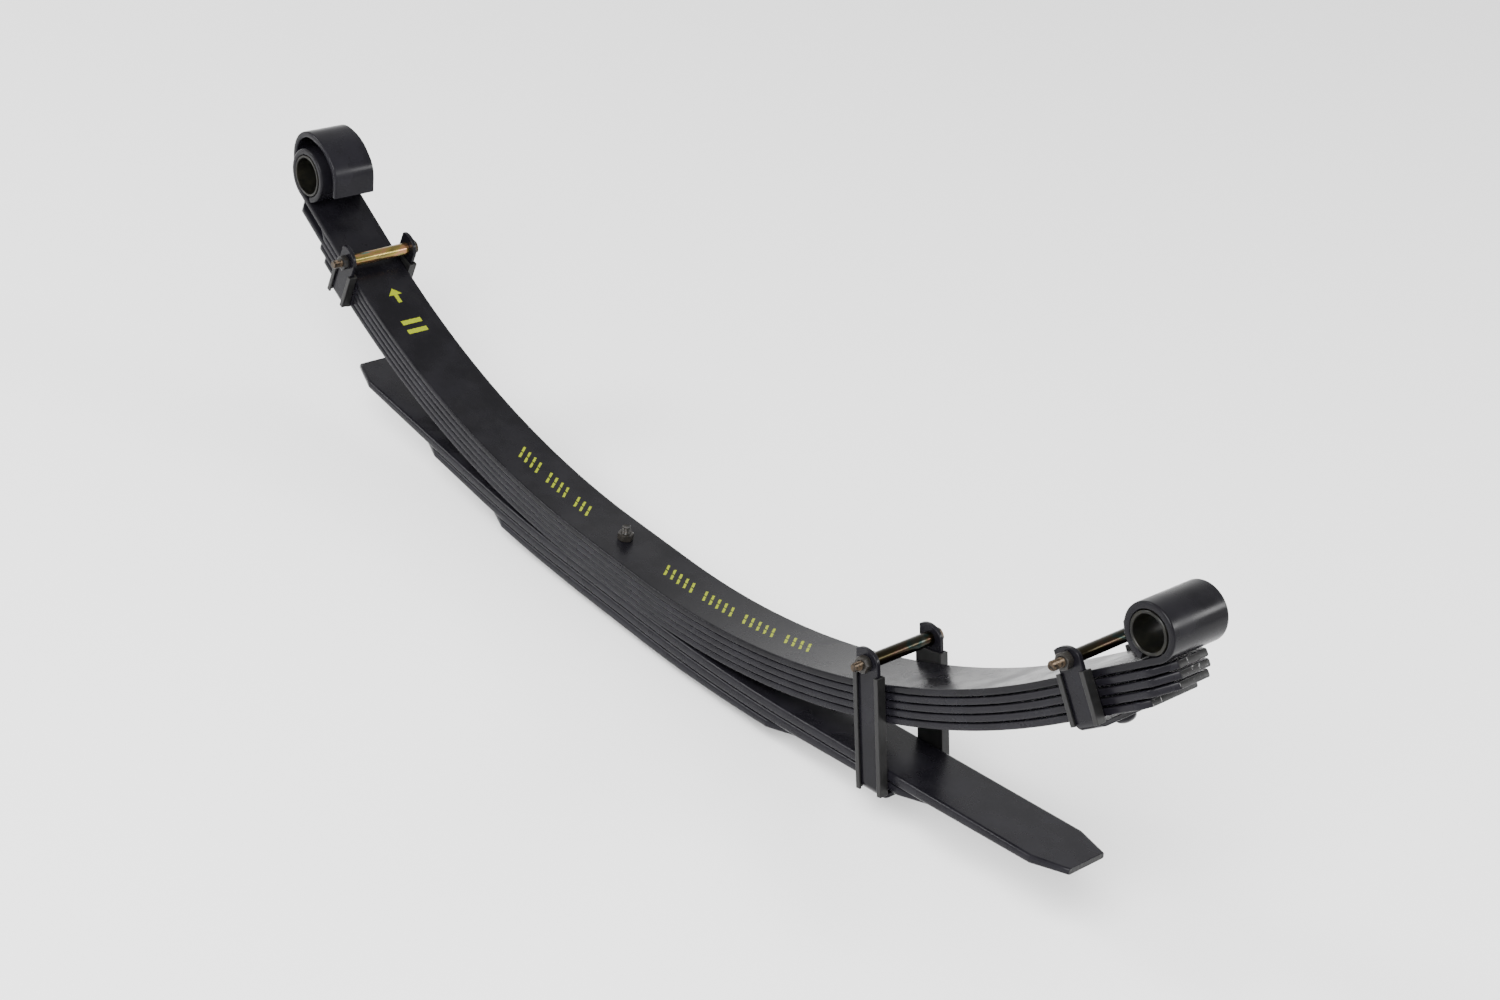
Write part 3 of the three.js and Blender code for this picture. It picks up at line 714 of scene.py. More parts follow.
def stencil(tree, coords):
    shake = node(tree, "ShaderNodeTexNoise", Vector=coords, Scale=420.0, Detail=3.0).outputs["Color"]
    centred = vector_node(tree, "SUBTRACT", shake, i1=(0.5, 0.5, 0.5))
    shaken = vector_node(tree, "ADD", coords, i1=vector_node(tree, "SCALE", centred, Scale=0.0011))
    x, y, _ = parts_of(tree, shaken)

    def bar(x, y, length, width, turn_by):
        return use(tree, BAR, Vector=shaken, X=x * MM, Y=y * MM, Length=length * MM, Width=width * MM,
                   Turn=math.radians(turn_by))["Mask"]

    def joined(marks, total):
        for mark in marks:
            total = math_node(tree, "MAXIMUM", total, bar(*mark))
        return total

    tallies = TALLY_FRONT + TALLY_REAR
    total = joined(tallies[1:], bar(*tallies[0]))
    off_bridge = ramp(tree, math_node(tree, "ABSOLUTE", y), 0.0005, 0.0009)
    total = times(tree, total, off_bridge)
    pointed = ramp(tree, x, (ARROW_HEAD[0] - 0.2) * MM, (ARROW_HEAD[0] + 0.2) * MM, 1.0, 0.0)
    total = math_node(tree, "MAXIMUM", total, times(tree, bar(*ARROW_HEAD), pointed))
    total = joined([ARROW_SHAFT, *TWO_BARS], total)
    on_top = ramp(tree, normal_up(tree), 0.5, 0.7)
    thin = ramp(tree, noise(tree, coords, 900.0, 4.0, 0.7), 0.3, 0.5, 0.6, 1.0)
    return times(tree, times(tree, total, on_top), thin)


LEAF_PAINT = paint("leaf_paint", 0.005, 0.007, 0.24, 0.06, 0.015)
TOP_PAINT = paint("top_leaf_paint", 0.003, 0.005, 0.25, 0.06, 0.025, marks=stencil)
HELPER_PAINT = paint("helper_paint", 0.005, 0.007, 0.27, 0.14, 0.03)
STRAP_PAINT = paint("strap_paint", 0.004, 0.006, 0.22, 0.08, 0.02, draw=0.1)
print("paints made")

# %% [markdown]
# Where a bar was sheared the cut is torn and streaked across its thickness, and paint covers it only
# partly. The streaks are a noise squeezed hard in one direction.

# %% Sheared ends
def sheared():
    made, tree, shader, coords = new_material("sheared_end")
    streaks = stretched_noise(tree, coords, (70, 1100, 70), 4.0, 0.7)
    patches = plus(tree, noise(tree, coords, 170.0, 4.0, 0.6), 0.5)
    bare = ramp(tree, times(tree, streaks, patches), 0.64, 0.74)
    feed(tree, shader, Base_Color=mix(tree, bare, grey(0.004), grey(0.34)),
         Roughness=ramp(tree, streaks, 0.2, 0.8, 0.25, 0.5), Specular_IOR_Level=0.18,
         Metallic=times(tree, bare, 0.7), Normal=bumped(tree, streaks, 0.0003, 0.6))
    return made


CUT_END = sheared()
print(CUT_END.name, "made")

# %% [markdown]
# The sleeves are turned steel tube under a thin dark film: fine marks run round them, and oily smears
# change the colour a little. A noise squeezed across the axis gives the turning marks.

# %% Sleeve steel
def sleeve_steel():
    made, tree, shader, coords = new_material("sleeve_steel")
    grain = use(tree, GRAIN, Vector=coords, Scale=700)
    turned_marks = stretched_noise(tree, coords, (60, 900, 60), 4.0, 0.6)
    smear = ramp(tree, noise(tree, coords, 90.0, 5.0, 0.65), 0.4, 0.7)
    height = plus(tree, turned_marks, grain["Height"])
    feed(tree, shader, Base_Color=mix(tree, smear, (0.003, 0.003, 0.0025, 1), (0.008, 0.0075, 0.005, 1)),
         Roughness=ramp(tree, grain["Cloud"], 0.3, 0.7, 0.28, 0.42), Metallic=0.1,
         Specular_IOR_Level=0.16, Normal=bumped(tree, height, 0.00001, 0.3))
    return made


SLEEVE = sleeve_steel()
print(SLEEVE.name, "made")

# %% [markdown]
# The liners are moulded black plastic, so there is no metal and no wear to show: only a fine moulded
# grain and a gloss that drifts. The bolts and nuts are blackened steel, whose film is thin enough to
# rub through to brown metal, so their metallic value follows the same wear mask as their colour.

# %% Liner plastic and blackened fasteners
def liner_plastic():
    made, tree, shader, coords = new_material("liner_plastic")
    grain = use(tree, GRAIN, Vector=coords, Scale=1500)
    feed(tree, shader, Base_Color=mix(tree, grain["Cloud"], grey(0.004), grey(0.009)),
         Roughness=ramp(tree, grain["Cloud"], 0.3, 0.7, 0.3, 0.44), Specular_IOR_Level=0.2,
         Normal=bumped(tree, grain["Height"], 0.00002, 0.5))
    return made


def black_fastener():
    made, tree, shader, coords = new_material("black_fastener")
    grain = use(tree, GRAIN, Vector=coords, Scale=1600)
    worn = ramp(tree, noise(tree, coords, 480.0, 5.0, 0.7), 0.56, 0.66)
    color = mix(tree, ramp(tree, grain["Cloud"], 0.3, 0.7), grey(0.006), grey(0.016, 0.12))
    color = mix(tree, times(tree, worn, 0.3), color, (0.09, 0.07, 0.05, 1))
    feed(tree, shader, Base_Color=color, Roughness=ramp(tree, grain["Height"], 0.3, 0.7, 0.24, 0.4),
         Metallic=ramp(tree, worn, 0, 1, 0.15, 0.7), Specular_IOR_Level=0.2,
         Normal=bumped(tree, grain["Height"], 0.00001, 0.5))
    return made


LINER, FASTENER = liner_plastic(), black_fastener()
print(LINER.name, FASTENER.name, "made")

# %% [markdown]
# The spacer tubes are zinc plated and passivated. The film is so thin that its colour comes from its
# thickness, so a slow noise runs through a colour ramp of gold, pink and teal. The bright tube and the
# nearly black ones are one finish with one number changed. The bolt ends are plated darker, and brown.

# %% Zinc plating and thread metal
def zinc(name, dull):
    """Yellow passivated zinc: gold, with pink and teal bands where the film's thickness changes."""
    made, tree, shader, coords = new_material(name)
    film = stretched_noise(tree, coords, (120, 26, 120), 3.0, 0.55)
    bands = node(tree, "ShaderNodeValToRGB", Fac=film)
    stops = [(0.34, (0.11, 0.09, 0.025)), (0.44, (0.20, 0.15, 0.04)), (0.50, (0.26, 0.12, 0.07)),
             (0.55, (0.17, 0.14, 0.04)), (0.60, (0.05, 0.17, 0.16)), (0.66, (0.14, 0.11, 0.035))]
    ramp_points = bands.color_ramp.elements
    while len(ramp_points) < len(stops):
        ramp_points.new(0.5)
    for point, (at, tint) in zip(ramp_points, stops):
        point.position = at
        point.color = (*(c * (1 - dull) for c in tint), 1)
    grain = use(tree, GRAIN, Vector=coords, Scale=1200)
    dark = ramp(tree, grain["Cloud"], 0.5, 0.75, 0.0, 0.5)
    feed(tree, shader, Base_Color=mix(tree, dark, bands.outputs[0], grey(0.05, 0.2)),
         Roughness=ramp(tree, grain["Height"], 0.3, 0.7, 0.14, 0.26), Metallic=0.92,
         Normal=bumped(tree, grain["Height"], 0.000008, 0.5))
    return made


def thread_metal():
    made, tree, shader, coords = new_material("thread_plating")
    tint = noise(tree, coords, 300.0, 4.0, 0.6)
    color = mix(tree, ramp(tree, tint, 0.35, 0.65), (0.006, 0.005, 0.004, 1), (0.05, 0.035, 0.022, 1))
    feed(tree, shader, Base_Color=color, Roughness=ramp(tree, tint, 0.3, 0.7, 0.22, 0.38), Metallic=0.9,
         Normal=bumped(tree, tint, 0.00002, 0.4))
    return made


BRIGHT_ZINC, DARK_ZINC, THREAD_METAL = zinc("bright_zinc", 0.0), zinc("dark_zinc", 0.94), thread_metal()
print(BRIGHT_ZINC.name, DARK_ZINC.name, THREAD_METAL.name, "made")

# %% [markdown]
# ## Leaves
# Each main leaf is two pieces that meet at the centre bolt, because a piece can bend between two bodies
# only and a leaf crosses both flex lines. Both halves are bent along one line, so the joint between
# them doesn't show. The halves ride on no body, so they don't turn when an arm moves.

# %% Main leaves
SEAT, FRONT_ARM, REAR_ARM = "seat", "front_arm", "rear_arm"
EDGE, HELPER_EDGE = 1.6, 2.8
NARROWED, NARROWED_BY = (475, 505), 7.5


def finish_leaf(name, rows, line, top_paint):
    leaf = linked(name, loft(rows))
    for made in (top_paint, CUT_END):
        leaf.data.materials.append(made)
    guide = line_object(line)
    with_tree(leaf, BEND, Line=guide, Bolt_At=line.bolt_at * MM, Finish=top_paint, Cut_Finish=CUT_END)
    curve = guide.data
    bpy.data.objects.remove(guide)
    bpy.data.curves.remove(curve)
    leaf.data.set_sharp_from_angle(angle=math.radians(40))
    return leaf


def constant(thickness):
    return lambda left: thickness


def eye_half(line, end, at):
    """Flat stations to the eye, then close ones round the curl."""
    marks = spaced(0, at, 7) + spaced(at, end, 1.3)[1:]
    return half_blank(end, lambda x: WIDTH / 2, 0, constant(MAIN_T), marks, EDGE)


def wrapper_half(line):
    start, stop = (-line.length_at(-m) for m in NARROWED)
    end = -line.front_end
    marks = spaced(0, start, 7) + spaced(start, stop, 6)[1:] + spaced(stop, end, 1.5)[1:]

    def width_at(x):
        return WIDTH / 2 - NARROWED_BY * min(max(x - start, 0) / (stop - start), 1)
    return half_blank(end, width_at, MAIN_T / 2, constant(MAIN_T), marks, EDGE)


def flex(piece):
    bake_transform(piece)


ENDS = {2: (None, BLUNT), 3: (BLUNT, BLUNT), 4: (BLUNT, BLUNT), 5: (BLUNT, SHORT)}
MAIN_PIECES = []
for leaf in range(1, 6):
    line = LINES[leaf]
    front_end, rear_end = -line.front_end, line.rear_end
    if leaf == 1:
        front = eye_half(line, front_end, -line.length_at(-FRONT_EYE["at"]))
        rear = eye_half(line, rear_end, line.length_at(REAR_EYE["at"]))
    else:
        front_cut, rear_cut = ENDS[leaf]
        rear = plain_half(rear_end, rear_cut, constant(MAIN_T), EDGE)
        if leaf > 2:
            front = plain_half(front_end, front_cut, constant(MAIN_T), EDGE)
    if leaf == 2:
        front = wrapper_half(line)
        rear = [(x, half, high + MAIN_T / 2, low + MAIN_T / 2, r) for x, half, high, low, r in rear]
    finish_here = TOP_PAINT if leaf == 1 else LEAF_PAINT
    front_piece = finish_leaf(f"main_{leaf}_front_half", mirrored(front), line, finish_here)
    rear_piece = finish_leaf(f"main_{leaf}_rear_half", rear, line, finish_here)
    flex(front_piece)
    flex(rear_piece)
    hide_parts(f"leaf_{leaf}_front", f"leaf_{leaf}_seat")
    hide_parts(f"leaf_{leaf}_rear")
    MAIN_PIECES += [front_piece, rear_piece]
print("main leaf faces", sum(len(p.data.polygons) for p in MAIN_PIECES))

# %% [markdown]
# The helpers stay with the axle, so each is one piece from tip to tip.

# %% Helper leaves
for leaf in (6, 7, 8):
    line = LINES[leaf]
    front = plain_half(-line.front_end, SPEAR, helper_thickness, HELPER_EDGE)
    rear = plain_half(line.rear_end, SPEAR, helper_thickness, HELPER_EDGE)
    piece = finish_leaf(f"helper_{leaf}", mirrored(front) + rear[1:], line, HELPER_PAINT)
    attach(piece, SEAT)
    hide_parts(f"leaf_{leaf}")
    print(piece.name, len(piece.data.polygons), "faces")

# %% [markdown]
# ## Turned parts
# Sleeves, spacers, rivets, nuts and bolts are all made on a lathe or start there, so one helper builds
# them: rings of points about Z, each with its own height and its own radius rule. A hexagon is just a
# radius that changes with the angle, cut back near its faces by a cone, as a real nut's corners are.

# %% Rings about an axis
def rings_mesh(rings, sides, hollow=False):
    """rings: (height, radius or rule of the angle), in millimetres. hollow joins last to first."""
    mesh = bmesh.new()
    loops = []
    for height, radius in rings:
        loop = []
        for k in range(sides):
            angle = 2 * math.pi * k / sides
            r = radius(angle) if callable(radius) else radius
            loop.append(mesh.verts.new((r * math.cos(angle) * MM, r * math.sin(angle) * MM, height * MM)))
        loops.append(loop)
    pairs = list(zip(loops, loops[1:]))
    if hollow:
        pairs.append((loops[-1], loops[0]))
    for a, b in pairs:
        for k in range(sides):
            mesh.faces.new((a[k], a[(k + 1) % sides], b[(k + 1) % sides], b[k]))
    if not hollow:
        mesh.faces.new(loops[0])
        mesh.faces.new(loops[-1])
    bmesh.ops.recalc_face_normals(mesh, faces=mesh.faces)
    return mesh


def smooth_by_angle(obj, degrees):
    obj.data.shade_smooth()
    obj.data.set_sharp_from_angle(angle=math.radians(degrees))


def placed(obj, matrix):
    """Moves the mesh, not the object, so that the piece stays at the origin."""
    obj.data.transform(matrix)
    return obj


def hexagon(across_flats):
    def rule(angle):
        from_flat = (angle % (math.pi / 3)) - math.pi / 6
        return min(across_flats / 2 / math.cos(from_flat), across_flats / 2 * 1.135)
    return rule


def coned(across_flats, depth):
    shape = hexagon(across_flats)
    return lambda angle: min(shape(angle), across_flats / 2 * 0.96 + 1.73 * depth)


def hex_rings(across_flats, low, high):
    cuts = (0, 0.18, 0.36, 0.54, 0.8)
    lower = [(low + c, coned(across_flats, c)) for c in cuts]
    return lower + [(high - c, coned(across_flats, c)) for c in cuts[::-1]]


print("a 13 mm hexagon reaches", round(hexagon(13)(0), 2), "mm at its corners")

# %% [markdown]
# Every small piece ends the same way: it gets its finish, rides on a body, and stands for a node of the
# frame. One helper does that, and another makes the nuts.

# %% Nuts, and fitting a piece to the frame
HEX_ACROSS, NUT_BORE, NUT_H = 13, 4.05, 6.5
BOLT_R, HOLE_R = 4.0, 4.4


def nut_piece(name, matrix):
    half, wide = NUT_H / 2, NUT_BORE + 0.5
    inside = [(half, wide), (half - 0.5, NUT_BORE), (-half + 0.5, NUT_BORE), (-half, wide)]
    piece = linked(name, rings_mesh(hex_rings(HEX_ACROSS, -half, half) + inside, 72, hollow=True))
    smooth_by_angle(piece, 25)
    return placed(piece, matrix)


def fit(piece, finish, body, slot_name, *nodes):
    """The piece's finish, the body it moves with, and the nodes of the frame that it stands for."""
    piece.data.materials.clear()
    piece.data.materials.append(finish)
    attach(piece, body)
    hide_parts(*nodes)


TO_Y = Matrix.Rotation(math.pi / 2, 4, "X")
print("lathe ready")

# %% [markdown]
# The bushes' steel sleeves line the two eyes and stand a hair proud of them. Their places are read
# from the frame.

# %% Sleeves
SLEEVE_HALF = 30.4


def middle(node_name):
    low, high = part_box(node_name)
    return (low + high) / 2


def tube_piece(name, outer, inner, half, broken, sides, matrix):
    rings = [(-half, inner + broken), (-half, outer - broken), (-half + broken, outer),
             (half - broken, outer), (half, outer - broken), (half, inner + broken),
             (half - broken, inner), (-half + broken, inner)]
    piece = linked(name, rings_mesh(rings, sides, hollow=True))
    smooth_by_angle(piece, 30)
    return placed(piece, matrix)


for eye, body in ((FRONT_EYE, FRONT_ARM), (REAR_EYE, REAR_ARM)):
    name = eye["node"].replace("sleeve", "bush_sleeve")
    place = Matrix.Translation(middle(eye["node"])) @ TO_Y
    piece = tube_piece(name, *eye["sleeve"], SLEEVE_HALF, 0.5, 96, place)
    fit(piece, SLEEVE, body, "sleeve_steel", eye["node"])
    print(piece.name, "at", [round(v, 4) for v in middle(eye["node"])])

# %% [markdown]
# ## Threads
# A thread is a groove that climbs one pitch for each turn. The tree takes a smooth bar about Z with
# closely spaced rings and pulls each point inwards by how far the height and the angle are out of step.

# %% The thread tree
def thread_tree():
    tree = new_tree("cut_thread", [
        ("Start", FLOAT, 0.0), ("End", FLOAT, 0.01), ("Pitch", FLOAT, 0.00125), ("Depth", FLOAT, 0.0006),
        ("Finish", "NodeSocketMaterial", None)])
    given = tree.nodes.new("NodeGroupInput").outputs
    place = tree.nodes.new("GeometryNodeInputPosition").outputs[0]
    x, y, z = parts_of(tree, place)
    around = math_node(tree, "DIVIDE", math_node(tree, "ARCTAN2", y, x), 2 * math.pi)
    climb = minus(tree, math_node(tree, "DIVIDE", z, given["Pitch"]), around)
    phase = minus(tree, math_node(tree, "FRACT", climb), 0.5)
    off_middle = times(tree, math_node(tree, "ABSOLUTE", phase), 2.0)
    groove = minus(tree, 1.0, off_middle)
    depth = times(tree, groove, given["Depth"])
    after = math_node(tree, "GREATER_THAN", z, given["Start"])
    before = math_node(tree, "LESS_THAN", z, given["End"])
    depth = times(tree, depth, times(tree, after, before))
    flat = node(tree, "ShaderNodeCombineXYZ", X=x, Y=y).outputs[0]
    outwards = vector_node(tree, "NORMALIZE", flat)
    move = vector_node(tree, "SCALE", outwards, Scale=times(tree, depth, -1.0))
    cut = node(tree, "GeometryNodeSetPosition", Geometry=given["Geometry"], Offset=move).outputs[0]
    single = node(tree, "GeometryNodeRealizeInstances", Geometry=cut).outputs[0]
    done = node(tree, "GeometryNodeSetMaterial", Geometry=single, Material=given["Finish"]).outputs[0]
    node(tree, "NodeGroupOutput", i0=done)
    return tree


THREAD = thread_tree()
RING_STEP = 0.13


def threaded_rings(start, end, radius, point):
    """Close rings for the thread to be cut in, and a chamfered point."""
    count = math.ceil((end - point - start) / RING_STEP)
    rings = [(start + (end - point - start) * i / count, radius) for i in range(count + 1)]
    return rings + [(end, radius - point)]


print("thread tree has", len(THREAD.nodes), "nodes")

# %% [markdown]
# ## Clips
# A clip is a flat strap bent into a U under the pack. Its arms lean with the pack's curve, so the base
# is square to the leaf and the arms aren't square to the base: the strap is the part that a bent U and
# the outline of its side view share. A bevel then breaks the strap's edges.

# %% Clip sizes and frames
STRAP_W, STRAP_T, BEND_R, HEAD_OFFSET = 24, 4, 5, 3
CLIPS = [
    dict(name="front_clip", body=FRONT_ARM, arm=MAIN_FRONT, at=423, rise=45.5, lean=19, crown=13.5,
         side=0.3, slack=0.8, spacer=6, out=9, leaf_t=MAIN_T),
    dict(name="middle_clip", body=SEAT, arm=HELPER_REAR, at=370, rise=110.5, lean=-14, crown=12,
         side=0.8, slack=1.2, spacer=6, out=7.5, leaf_t=HELPER_T),
    dict(name="rear_clip", body=REAR_ARM, arm=MAIN_REAR, at=589, rise=47.4, lean=-35.5, crown=10,
         side=3.4, slack=3, spacer=5.3, out=11, leaf_t=MAIN_T),
]
for clip in CLIPS:
    lean = math.radians(clip["lean"])
    tilt = clip["arm"]["side"] * slope_at(clip["arm"], clip["at"]) + lean
    bolt = middle(clip["name"] + "_spacer")
    clip["frame"] = Matrix.Translation((bolt.x, 0, bolt.z)) @ Matrix.Rotation(lean, 4, "Y")
    clip["to_seat"] = Matrix.Translation((0, 0, -clip["rise"] * MM)) @ Matrix.Rotation(-tilt, 4, "Y")
    clip["half"] = WIDTH / 2 + clip["side"] + 2 + GAP
    clip["face"] = clip["half"] + STRAP_T + GAP
    print(clip["name"], "bolt at", round(bolt.x, 4), round(bolt.z, 4))

# %% [markdown]
# The strap is cut from solids with exact booleans rather than moulded from a grid: the press that makes
# it bends and trims it too. The bevel comes last, when every edge exists, and the vertices it makes are
# marked so that the paint can chip there.

# %% Bending and trimming a strap
def arc(centre, radius, start, end, steps=10):
    angles = [math.radians(start + (end - start) * i / steps) for i in range(steps + 1)]
    return [(centre[0] + radius * math.cos(a), centre[1] + radius * math.sin(a)) for a in angles]


def prism(name, outline, depth, matrix):
    """A solid from a flat outline (u, v), pushed both ways along its third axis."""
    mesh = bmesh.new()
    rings = [[mesh.verts.new((u * MM, v * MM, w * depth / 2 * MM)) for u, v in outline] for w in (-1, 1)]
    mesh.faces.new(rings[0])
    mesh.faces.new(rings[1])
    count = len(outline)
    for k in range(count):
        mesh.faces.new((rings[0][k], rings[0][(k + 1) % count], rings[1][(k + 1) % count], rings[1][k]))
    bmesh.ops.recalc_face_normals(mesh, faces=mesh.faces)
    return placed(linked(name, mesh), matrix)


def carve(obj, tool, operation):
    modifier = obj.modifiers.new("carve", "BOOLEAN")
    modifier.operation, modifier.solver, modifier.object = operation, "EXACT", tool
    bake(obj)
    data = tool.data
    bpy.data.objects.remove(tool)
    bpy.data.meshes.remove(data)


def mark_edges(obj):
    """Writes 1 into the edge attribute where neighbouring faces turn, which is on the bevels."""
    mesh = bmesh.new()
    mesh.from_mesh(obj.data)
    layer = mesh.verts.layers.float.get("edge") or mesh.verts.layers.float.new("edge")
    for vertex in mesh.verts:
        normals = [f.normal for f in vertex.link_faces]
        widest = max((a.angle(b, 0) for a in normals for b in normals), default=0)
        vertex[layer] = 1.0 if widest > math.radians(12) else 0.0
    mesh.to_mesh(obj.data)
    mesh.free()


def soften(obj, width, segments):
    bevel = obj.modifiers.new("bevel", "BEVEL")
    bevel.width, bevel.segments, bevel.limit_method = width * MM, segments, "ANGLE"
    bevel.angle_limit, bevel.harden_normals, bevel.use_clamp_overlap = math.radians(35), False, True
    bake(obj)
    smooth_by_angle(obj, 38)
    weighted = obj.modifiers.new("weighted", "WEIGHTED_NORMAL")
    weighted.keep_sharp, weighted.weight = True, 100
    bake(obj)
    mark_edges(obj)
    return obj


ACROSS_UP = Matrix(((0, 0, 1, 0), (1, 0, 0, 0), (0, 1, 0, 0), (0, 0, 0, 1)))


print("strap tools ready")

# %% The three straps
def strap_piece(clip):
    half, slack = clip["half"], clip["slack"]
    reach, bend_at, bend_up = clip["rise"] + STRAP_W, clip["half"] - BEND_R, BEND_R - clip["slack"]
    outer = BEND_R + STRAP_T
    outline = [(half + STRAP_T, reach), (half, reach), *arc((bend_at, bend_up), BEND_R, 0, -90),
               *arc((-bend_at, bend_up), BEND_R, -90, -180), (-half, reach), (-half - STRAP_T, reach),
               *arc((-bend_at, bend_up), outer, -180, -90), *arc((bend_at, bend_up), outer, -90, 0)]
    piece = prism(clip["name"] + "_bent_strap", outline, 3 * STRAP_W, clip["to_seat"] @ ACROSS_UP)
    corner = math.degrees(math.acos((HEAD_OFFSET - STRAP_W / 2) / (STRAP_W / 2 + HEAD_OFFSET)))
    head = [(x - HEAD_OFFSET, y * clip["crown"] / (STRAP_W / 2 + HEAD_OFFSET))
            for x, y in arc((0, 0), STRAP_W / 2 + HEAD_OFFSET, 0, corner, 22)]
    side = [(-STRAP_W / 2, -reach), (STRAP_W / 2, -reach), *head]
    carve(piece, prism("side", side, 6 * half, TO_Y), "INTERSECT")
    for low, high, matrix in ((-2 * half, 2 * half, TO_Y), (-15, 10, clip["to_seat"])):
        drill = linked("hole", rings_mesh([(low, HOLE_R), (high, HOLE_R)], 32))
        carve(piece, placed(drill, matrix), "DIFFERENCE")
    soften(piece, 0.75, 3)
    return placed(piece, clip["frame"])


for clip in CLIPS:
    strap = strap_piece(clip)
    fit(strap, STRAP_PAINT, clip["body"], "satin_black_paint", clip["name"] + "_strap")
    print(strap.name, len(strap.data.polygons), "faces")

# %% [markdown]
# The plastic liners have only flat faces, so the model's own shape is right. A copy of each is welded,
# its coplanar triangles are joined, and a small bevel gives the moulded edges.

# %% Liners
def refined(node_name, name):
    mesh = bmesh.new()
    mesh.from_mesh(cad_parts[node_name].data)
    bmesh.ops.remove_doubles(mesh, verts=mesh.verts, dist=0.00001)
    bmesh.ops.dissolve_limit(mesh, angle_limit=math.radians(1), verts=mesh.verts, edges=mesh.edges)
    return soften(linked(name, mesh), 0.45, 2)


for clip in CLIPS:
    for side in ("near", "far"):
        piece = refined(f"{clip['name']}_liner_{side}", f"{clip['name']}_moulded_liner_{side}")
        fit(piece, LINER, clip["body"], "liner_plastic", f"{clip['name']}_liner_{side}")
print("liners made")

# %% [markdown]
# Each clip has a long bolt with its head on the far side, a nut on the near side, a plated tube that
# keeps the arms apart, and a domed rivet through the strap's base.

# %% Clip hardware
def bolt_piece(clip):
    face, end = clip["face"], clip["face"] + NUT_H + clip["out"]
    start = face + 5
    rings = hex_rings(HEX_ACROSS, -face - 5.5, -face) + [(-face, BOLT_R), (start, BOLT_R)]
    rings += threaded_rings(start + 0.1, end, BOLT_R, 0.9)
    piece = linked(clip["name"] + "_long_bolt", rings_mesh(rings, 48))
    piece.data.materials.append(THREAD_METAL)
    with_tree(piece, THREAD, Start=start * MM, End=(end - 0.4) * MM, Finish=THREAD_METAL)
    smooth_by_angle(piece, 40)
    return placed(piece, clip["frame"] @ TO_Y)


def rivet_piece(clip):
    top = -clip["slack"] - STRAP_T - GAP
    angles = [math.radians(6 + 84 * i / 11) for i in range(12)]
    dome = [(top - 0.5 - 5 * math.cos(a), 8.5 * math.sin(a)) for a in angles]
    rings = dome + [(top - 0.15, 8.5), (top, 8.2), (top, BOLT_R), (clip["leaf_t"] - 2, BOLT_R)]
    piece = linked(clip["name"] + "_domed_rivet", rings_mesh(rings, 40))
    smooth_by_angle(piece, 40)
    return placed(piece, clip["frame"] @ clip["to_seat"])


for clip in CLIPS:
    name, body = clip["name"], clip["body"]
    fit(bolt_piece(clip), THREAD_METAL, body, "black_fastener", name + "_bolt")
    nut_place = Matrix.Translation((0, -(clip["face"] + NUT_H / 2) * MM, 0))
    nut = nut_piece(name + "_hex_nut", clip["frame"] @ nut_place @ TO_Y)
    fit(nut, FASTENER, body, "black_fastener", name + "_nut")
    tube = tube_piece(name + "_spacer_tube", clip["spacer"], HOLE_R, clip["half"] - GAP, 0.3, 64,
                      clip["frame"] @ TO_Y)
    plating = BRIGHT_ZINC if name == "front_clip" else DARK_ZINC
    fit(tube, plating, body, "zinc_plating", name + "_spacer")
    fit(rivet_piece(clip), STRAP_PAINT, body, "black_fastener", name + "_rivet")
    print(name, "hardware fitted")

# %% [markdown]
# The centre bolt holds all eight leaves. Its round head locates the axle, its nut sits on leaf 1, and
# the end above the nut was sheared off, which leaves a burred rim.

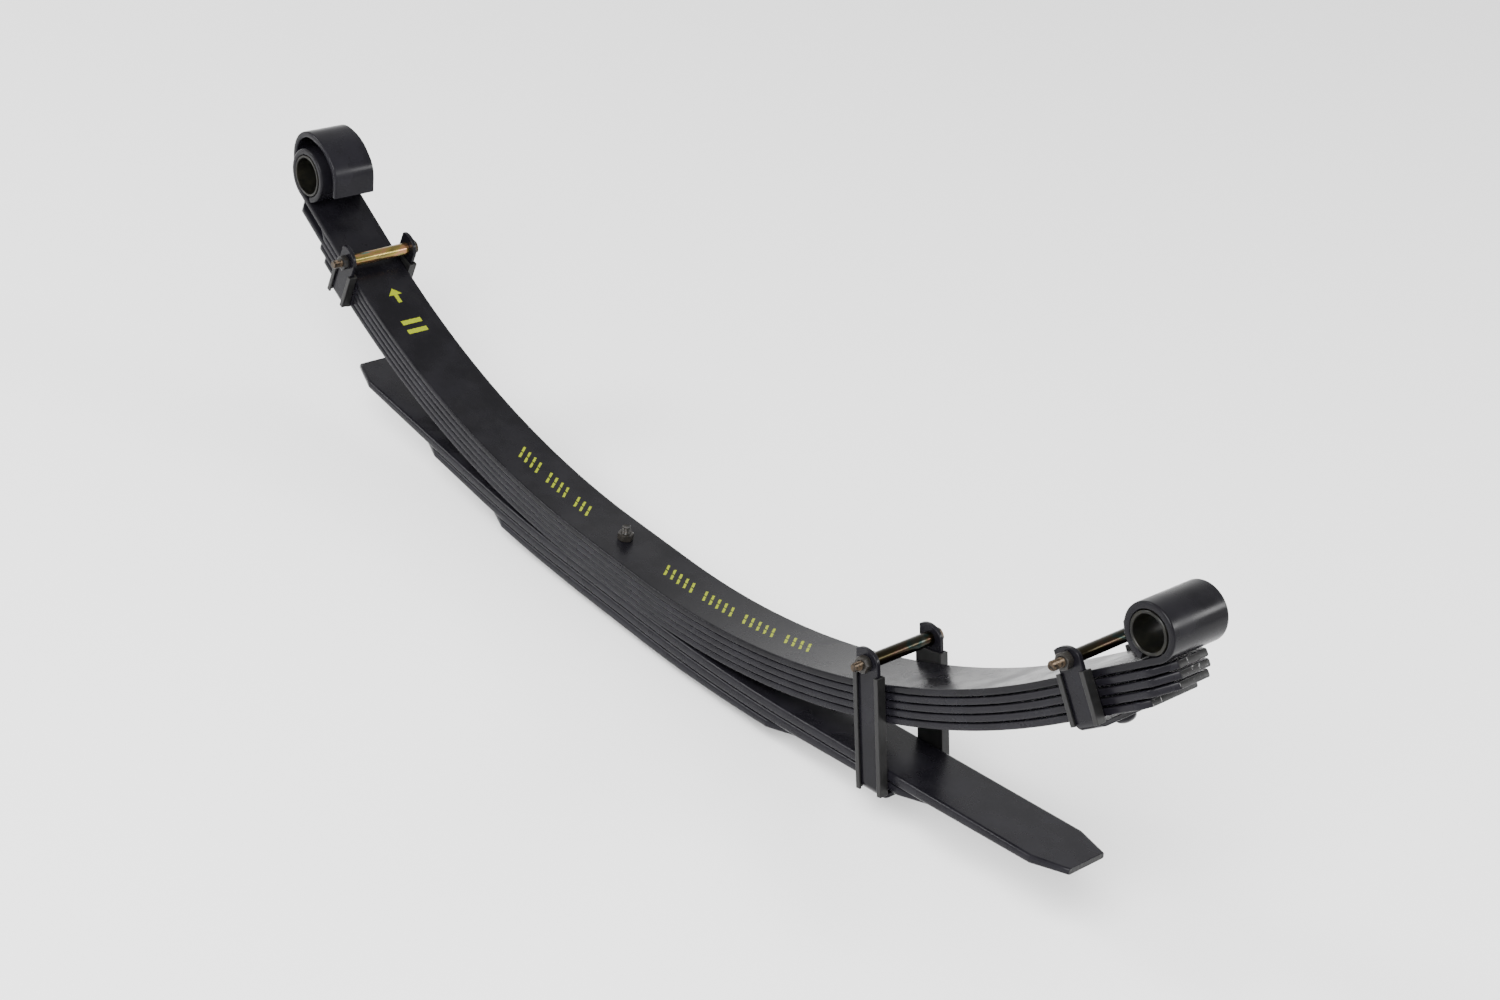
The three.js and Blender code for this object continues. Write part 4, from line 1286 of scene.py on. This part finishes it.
# %% Centre bolt and nut
nut_top = MAIN_TOP + GAP + NUT_H
rings = [(0, 7.2), (0.8, 8.0), (8.1, 8.0), (8.7, 7.4), (8.7, BOLT_R), (nut_top - 2, BOLT_R)]
rings += threaded_rings(nut_top - 1.9, MAIN_TOP + 12.3, 3.9, 0.3)
rings += [(MAIN_TOP + 12.5, 3.75), (MAIN_TOP + 13.1, 3.8), (MAIN_TOP + 13.4, 3.4), (MAIN_TOP + 13.0, 2.4)]
bolt = linked("centre_stud", rings_mesh(rings, 48))
bolt.data.materials.append(FASTENER)
with_tree(bolt, THREAD, Start=(nut_top - 1.5) * MM, End=(MAIN_TOP + 12) * MM, Finish=FASTENER)
smooth_by_angle(bolt, 40)
fit(bolt, FASTENER, SEAT, "black_fastener", "centre_bolt")
nut = nut_piece("centre_hex_nut", Matrix.Translation((0, 0, (MAIN_TOP + GAP + NUT_H / 2) * MM)))
fit(nut, FASTENER, SEAT, "black_fastener", "centre_nut")
print("centre bolt fitted")

# %% [markdown]
# ## Studio
# A wide pale floor and three boxes of light. The strongest is high on the camera's side and draws the
# line along every rolled edge, one is lower at the front left, and a small one behind to the right
# lights the eyes. The sky is bright near the horizon and dim overhead, so the flat tops stay dark
# while their grazing ends turn grey.

# %% Floor, lights and world
floor_mesh = bmesh.new()
bmesh.ops.create_grid(floor_mesh, x_segments=1, y_segments=1, size=12)
floor = linked("floor", floor_mesh)
floor.location.z = cad_low.z - 0.0005
floor_material, floor_tree, floor_shader, _ = new_material("floor")
feed(floor_tree, floor_shader, Base_Color=grey(0.93), Roughness=0.9, Specular_IOR_Level=0.1)
floor.data.materials.append(floor_material)


def softbox(name, place, aim, size, power):
    light = bpy.data.lights.new(name, "AREA")
    light.shape, light.size, light.size_y, light.energy = "RECTANGLE", size[0], size[1], power
    made = bpy.data.objects.new(name, light)
    bpy.context.scene.collection.objects.link(made)
    made.location = place
    made.rotation_euler = (Vector(aim) - Vector(place)).to_track_quat("-Z", "Y").to_euler()


softbox("front_left_box", (-2.5, -2.1, 2.4), (0, 0, 0.1), (1.1, 0.7), 85)
softbox("rear_right_box", (2.4, 2.4, 1.6), (0.2, 0, 0.2), (1.4, 0.5), 55)
softbox("high_box", (1.6, -2.4, 3.0), (0, 0, 0), (2.2, 2.2), 330)

world = bpy.data.worlds.new("studio")
bpy.context.scene.world = world
world.use_nodes = True
sky = world.node_tree
backdrop = sky.nodes["Background"]
direction = sky.nodes.new("ShaderNodeTexCoord").outputs["Generated"]
overhead = ramp(sky, parts_of(sky, direction)[2], 0.0, 0.75)
feed(sky, backdrop, Color=mix(sky, overhead, grey(1.0), grey(0.5)), Strength=2.2)
print("studio lit")

# %% Sizes of the model
print("cad", [round(v, 4) for v in (*cad_low, *cad_high)])
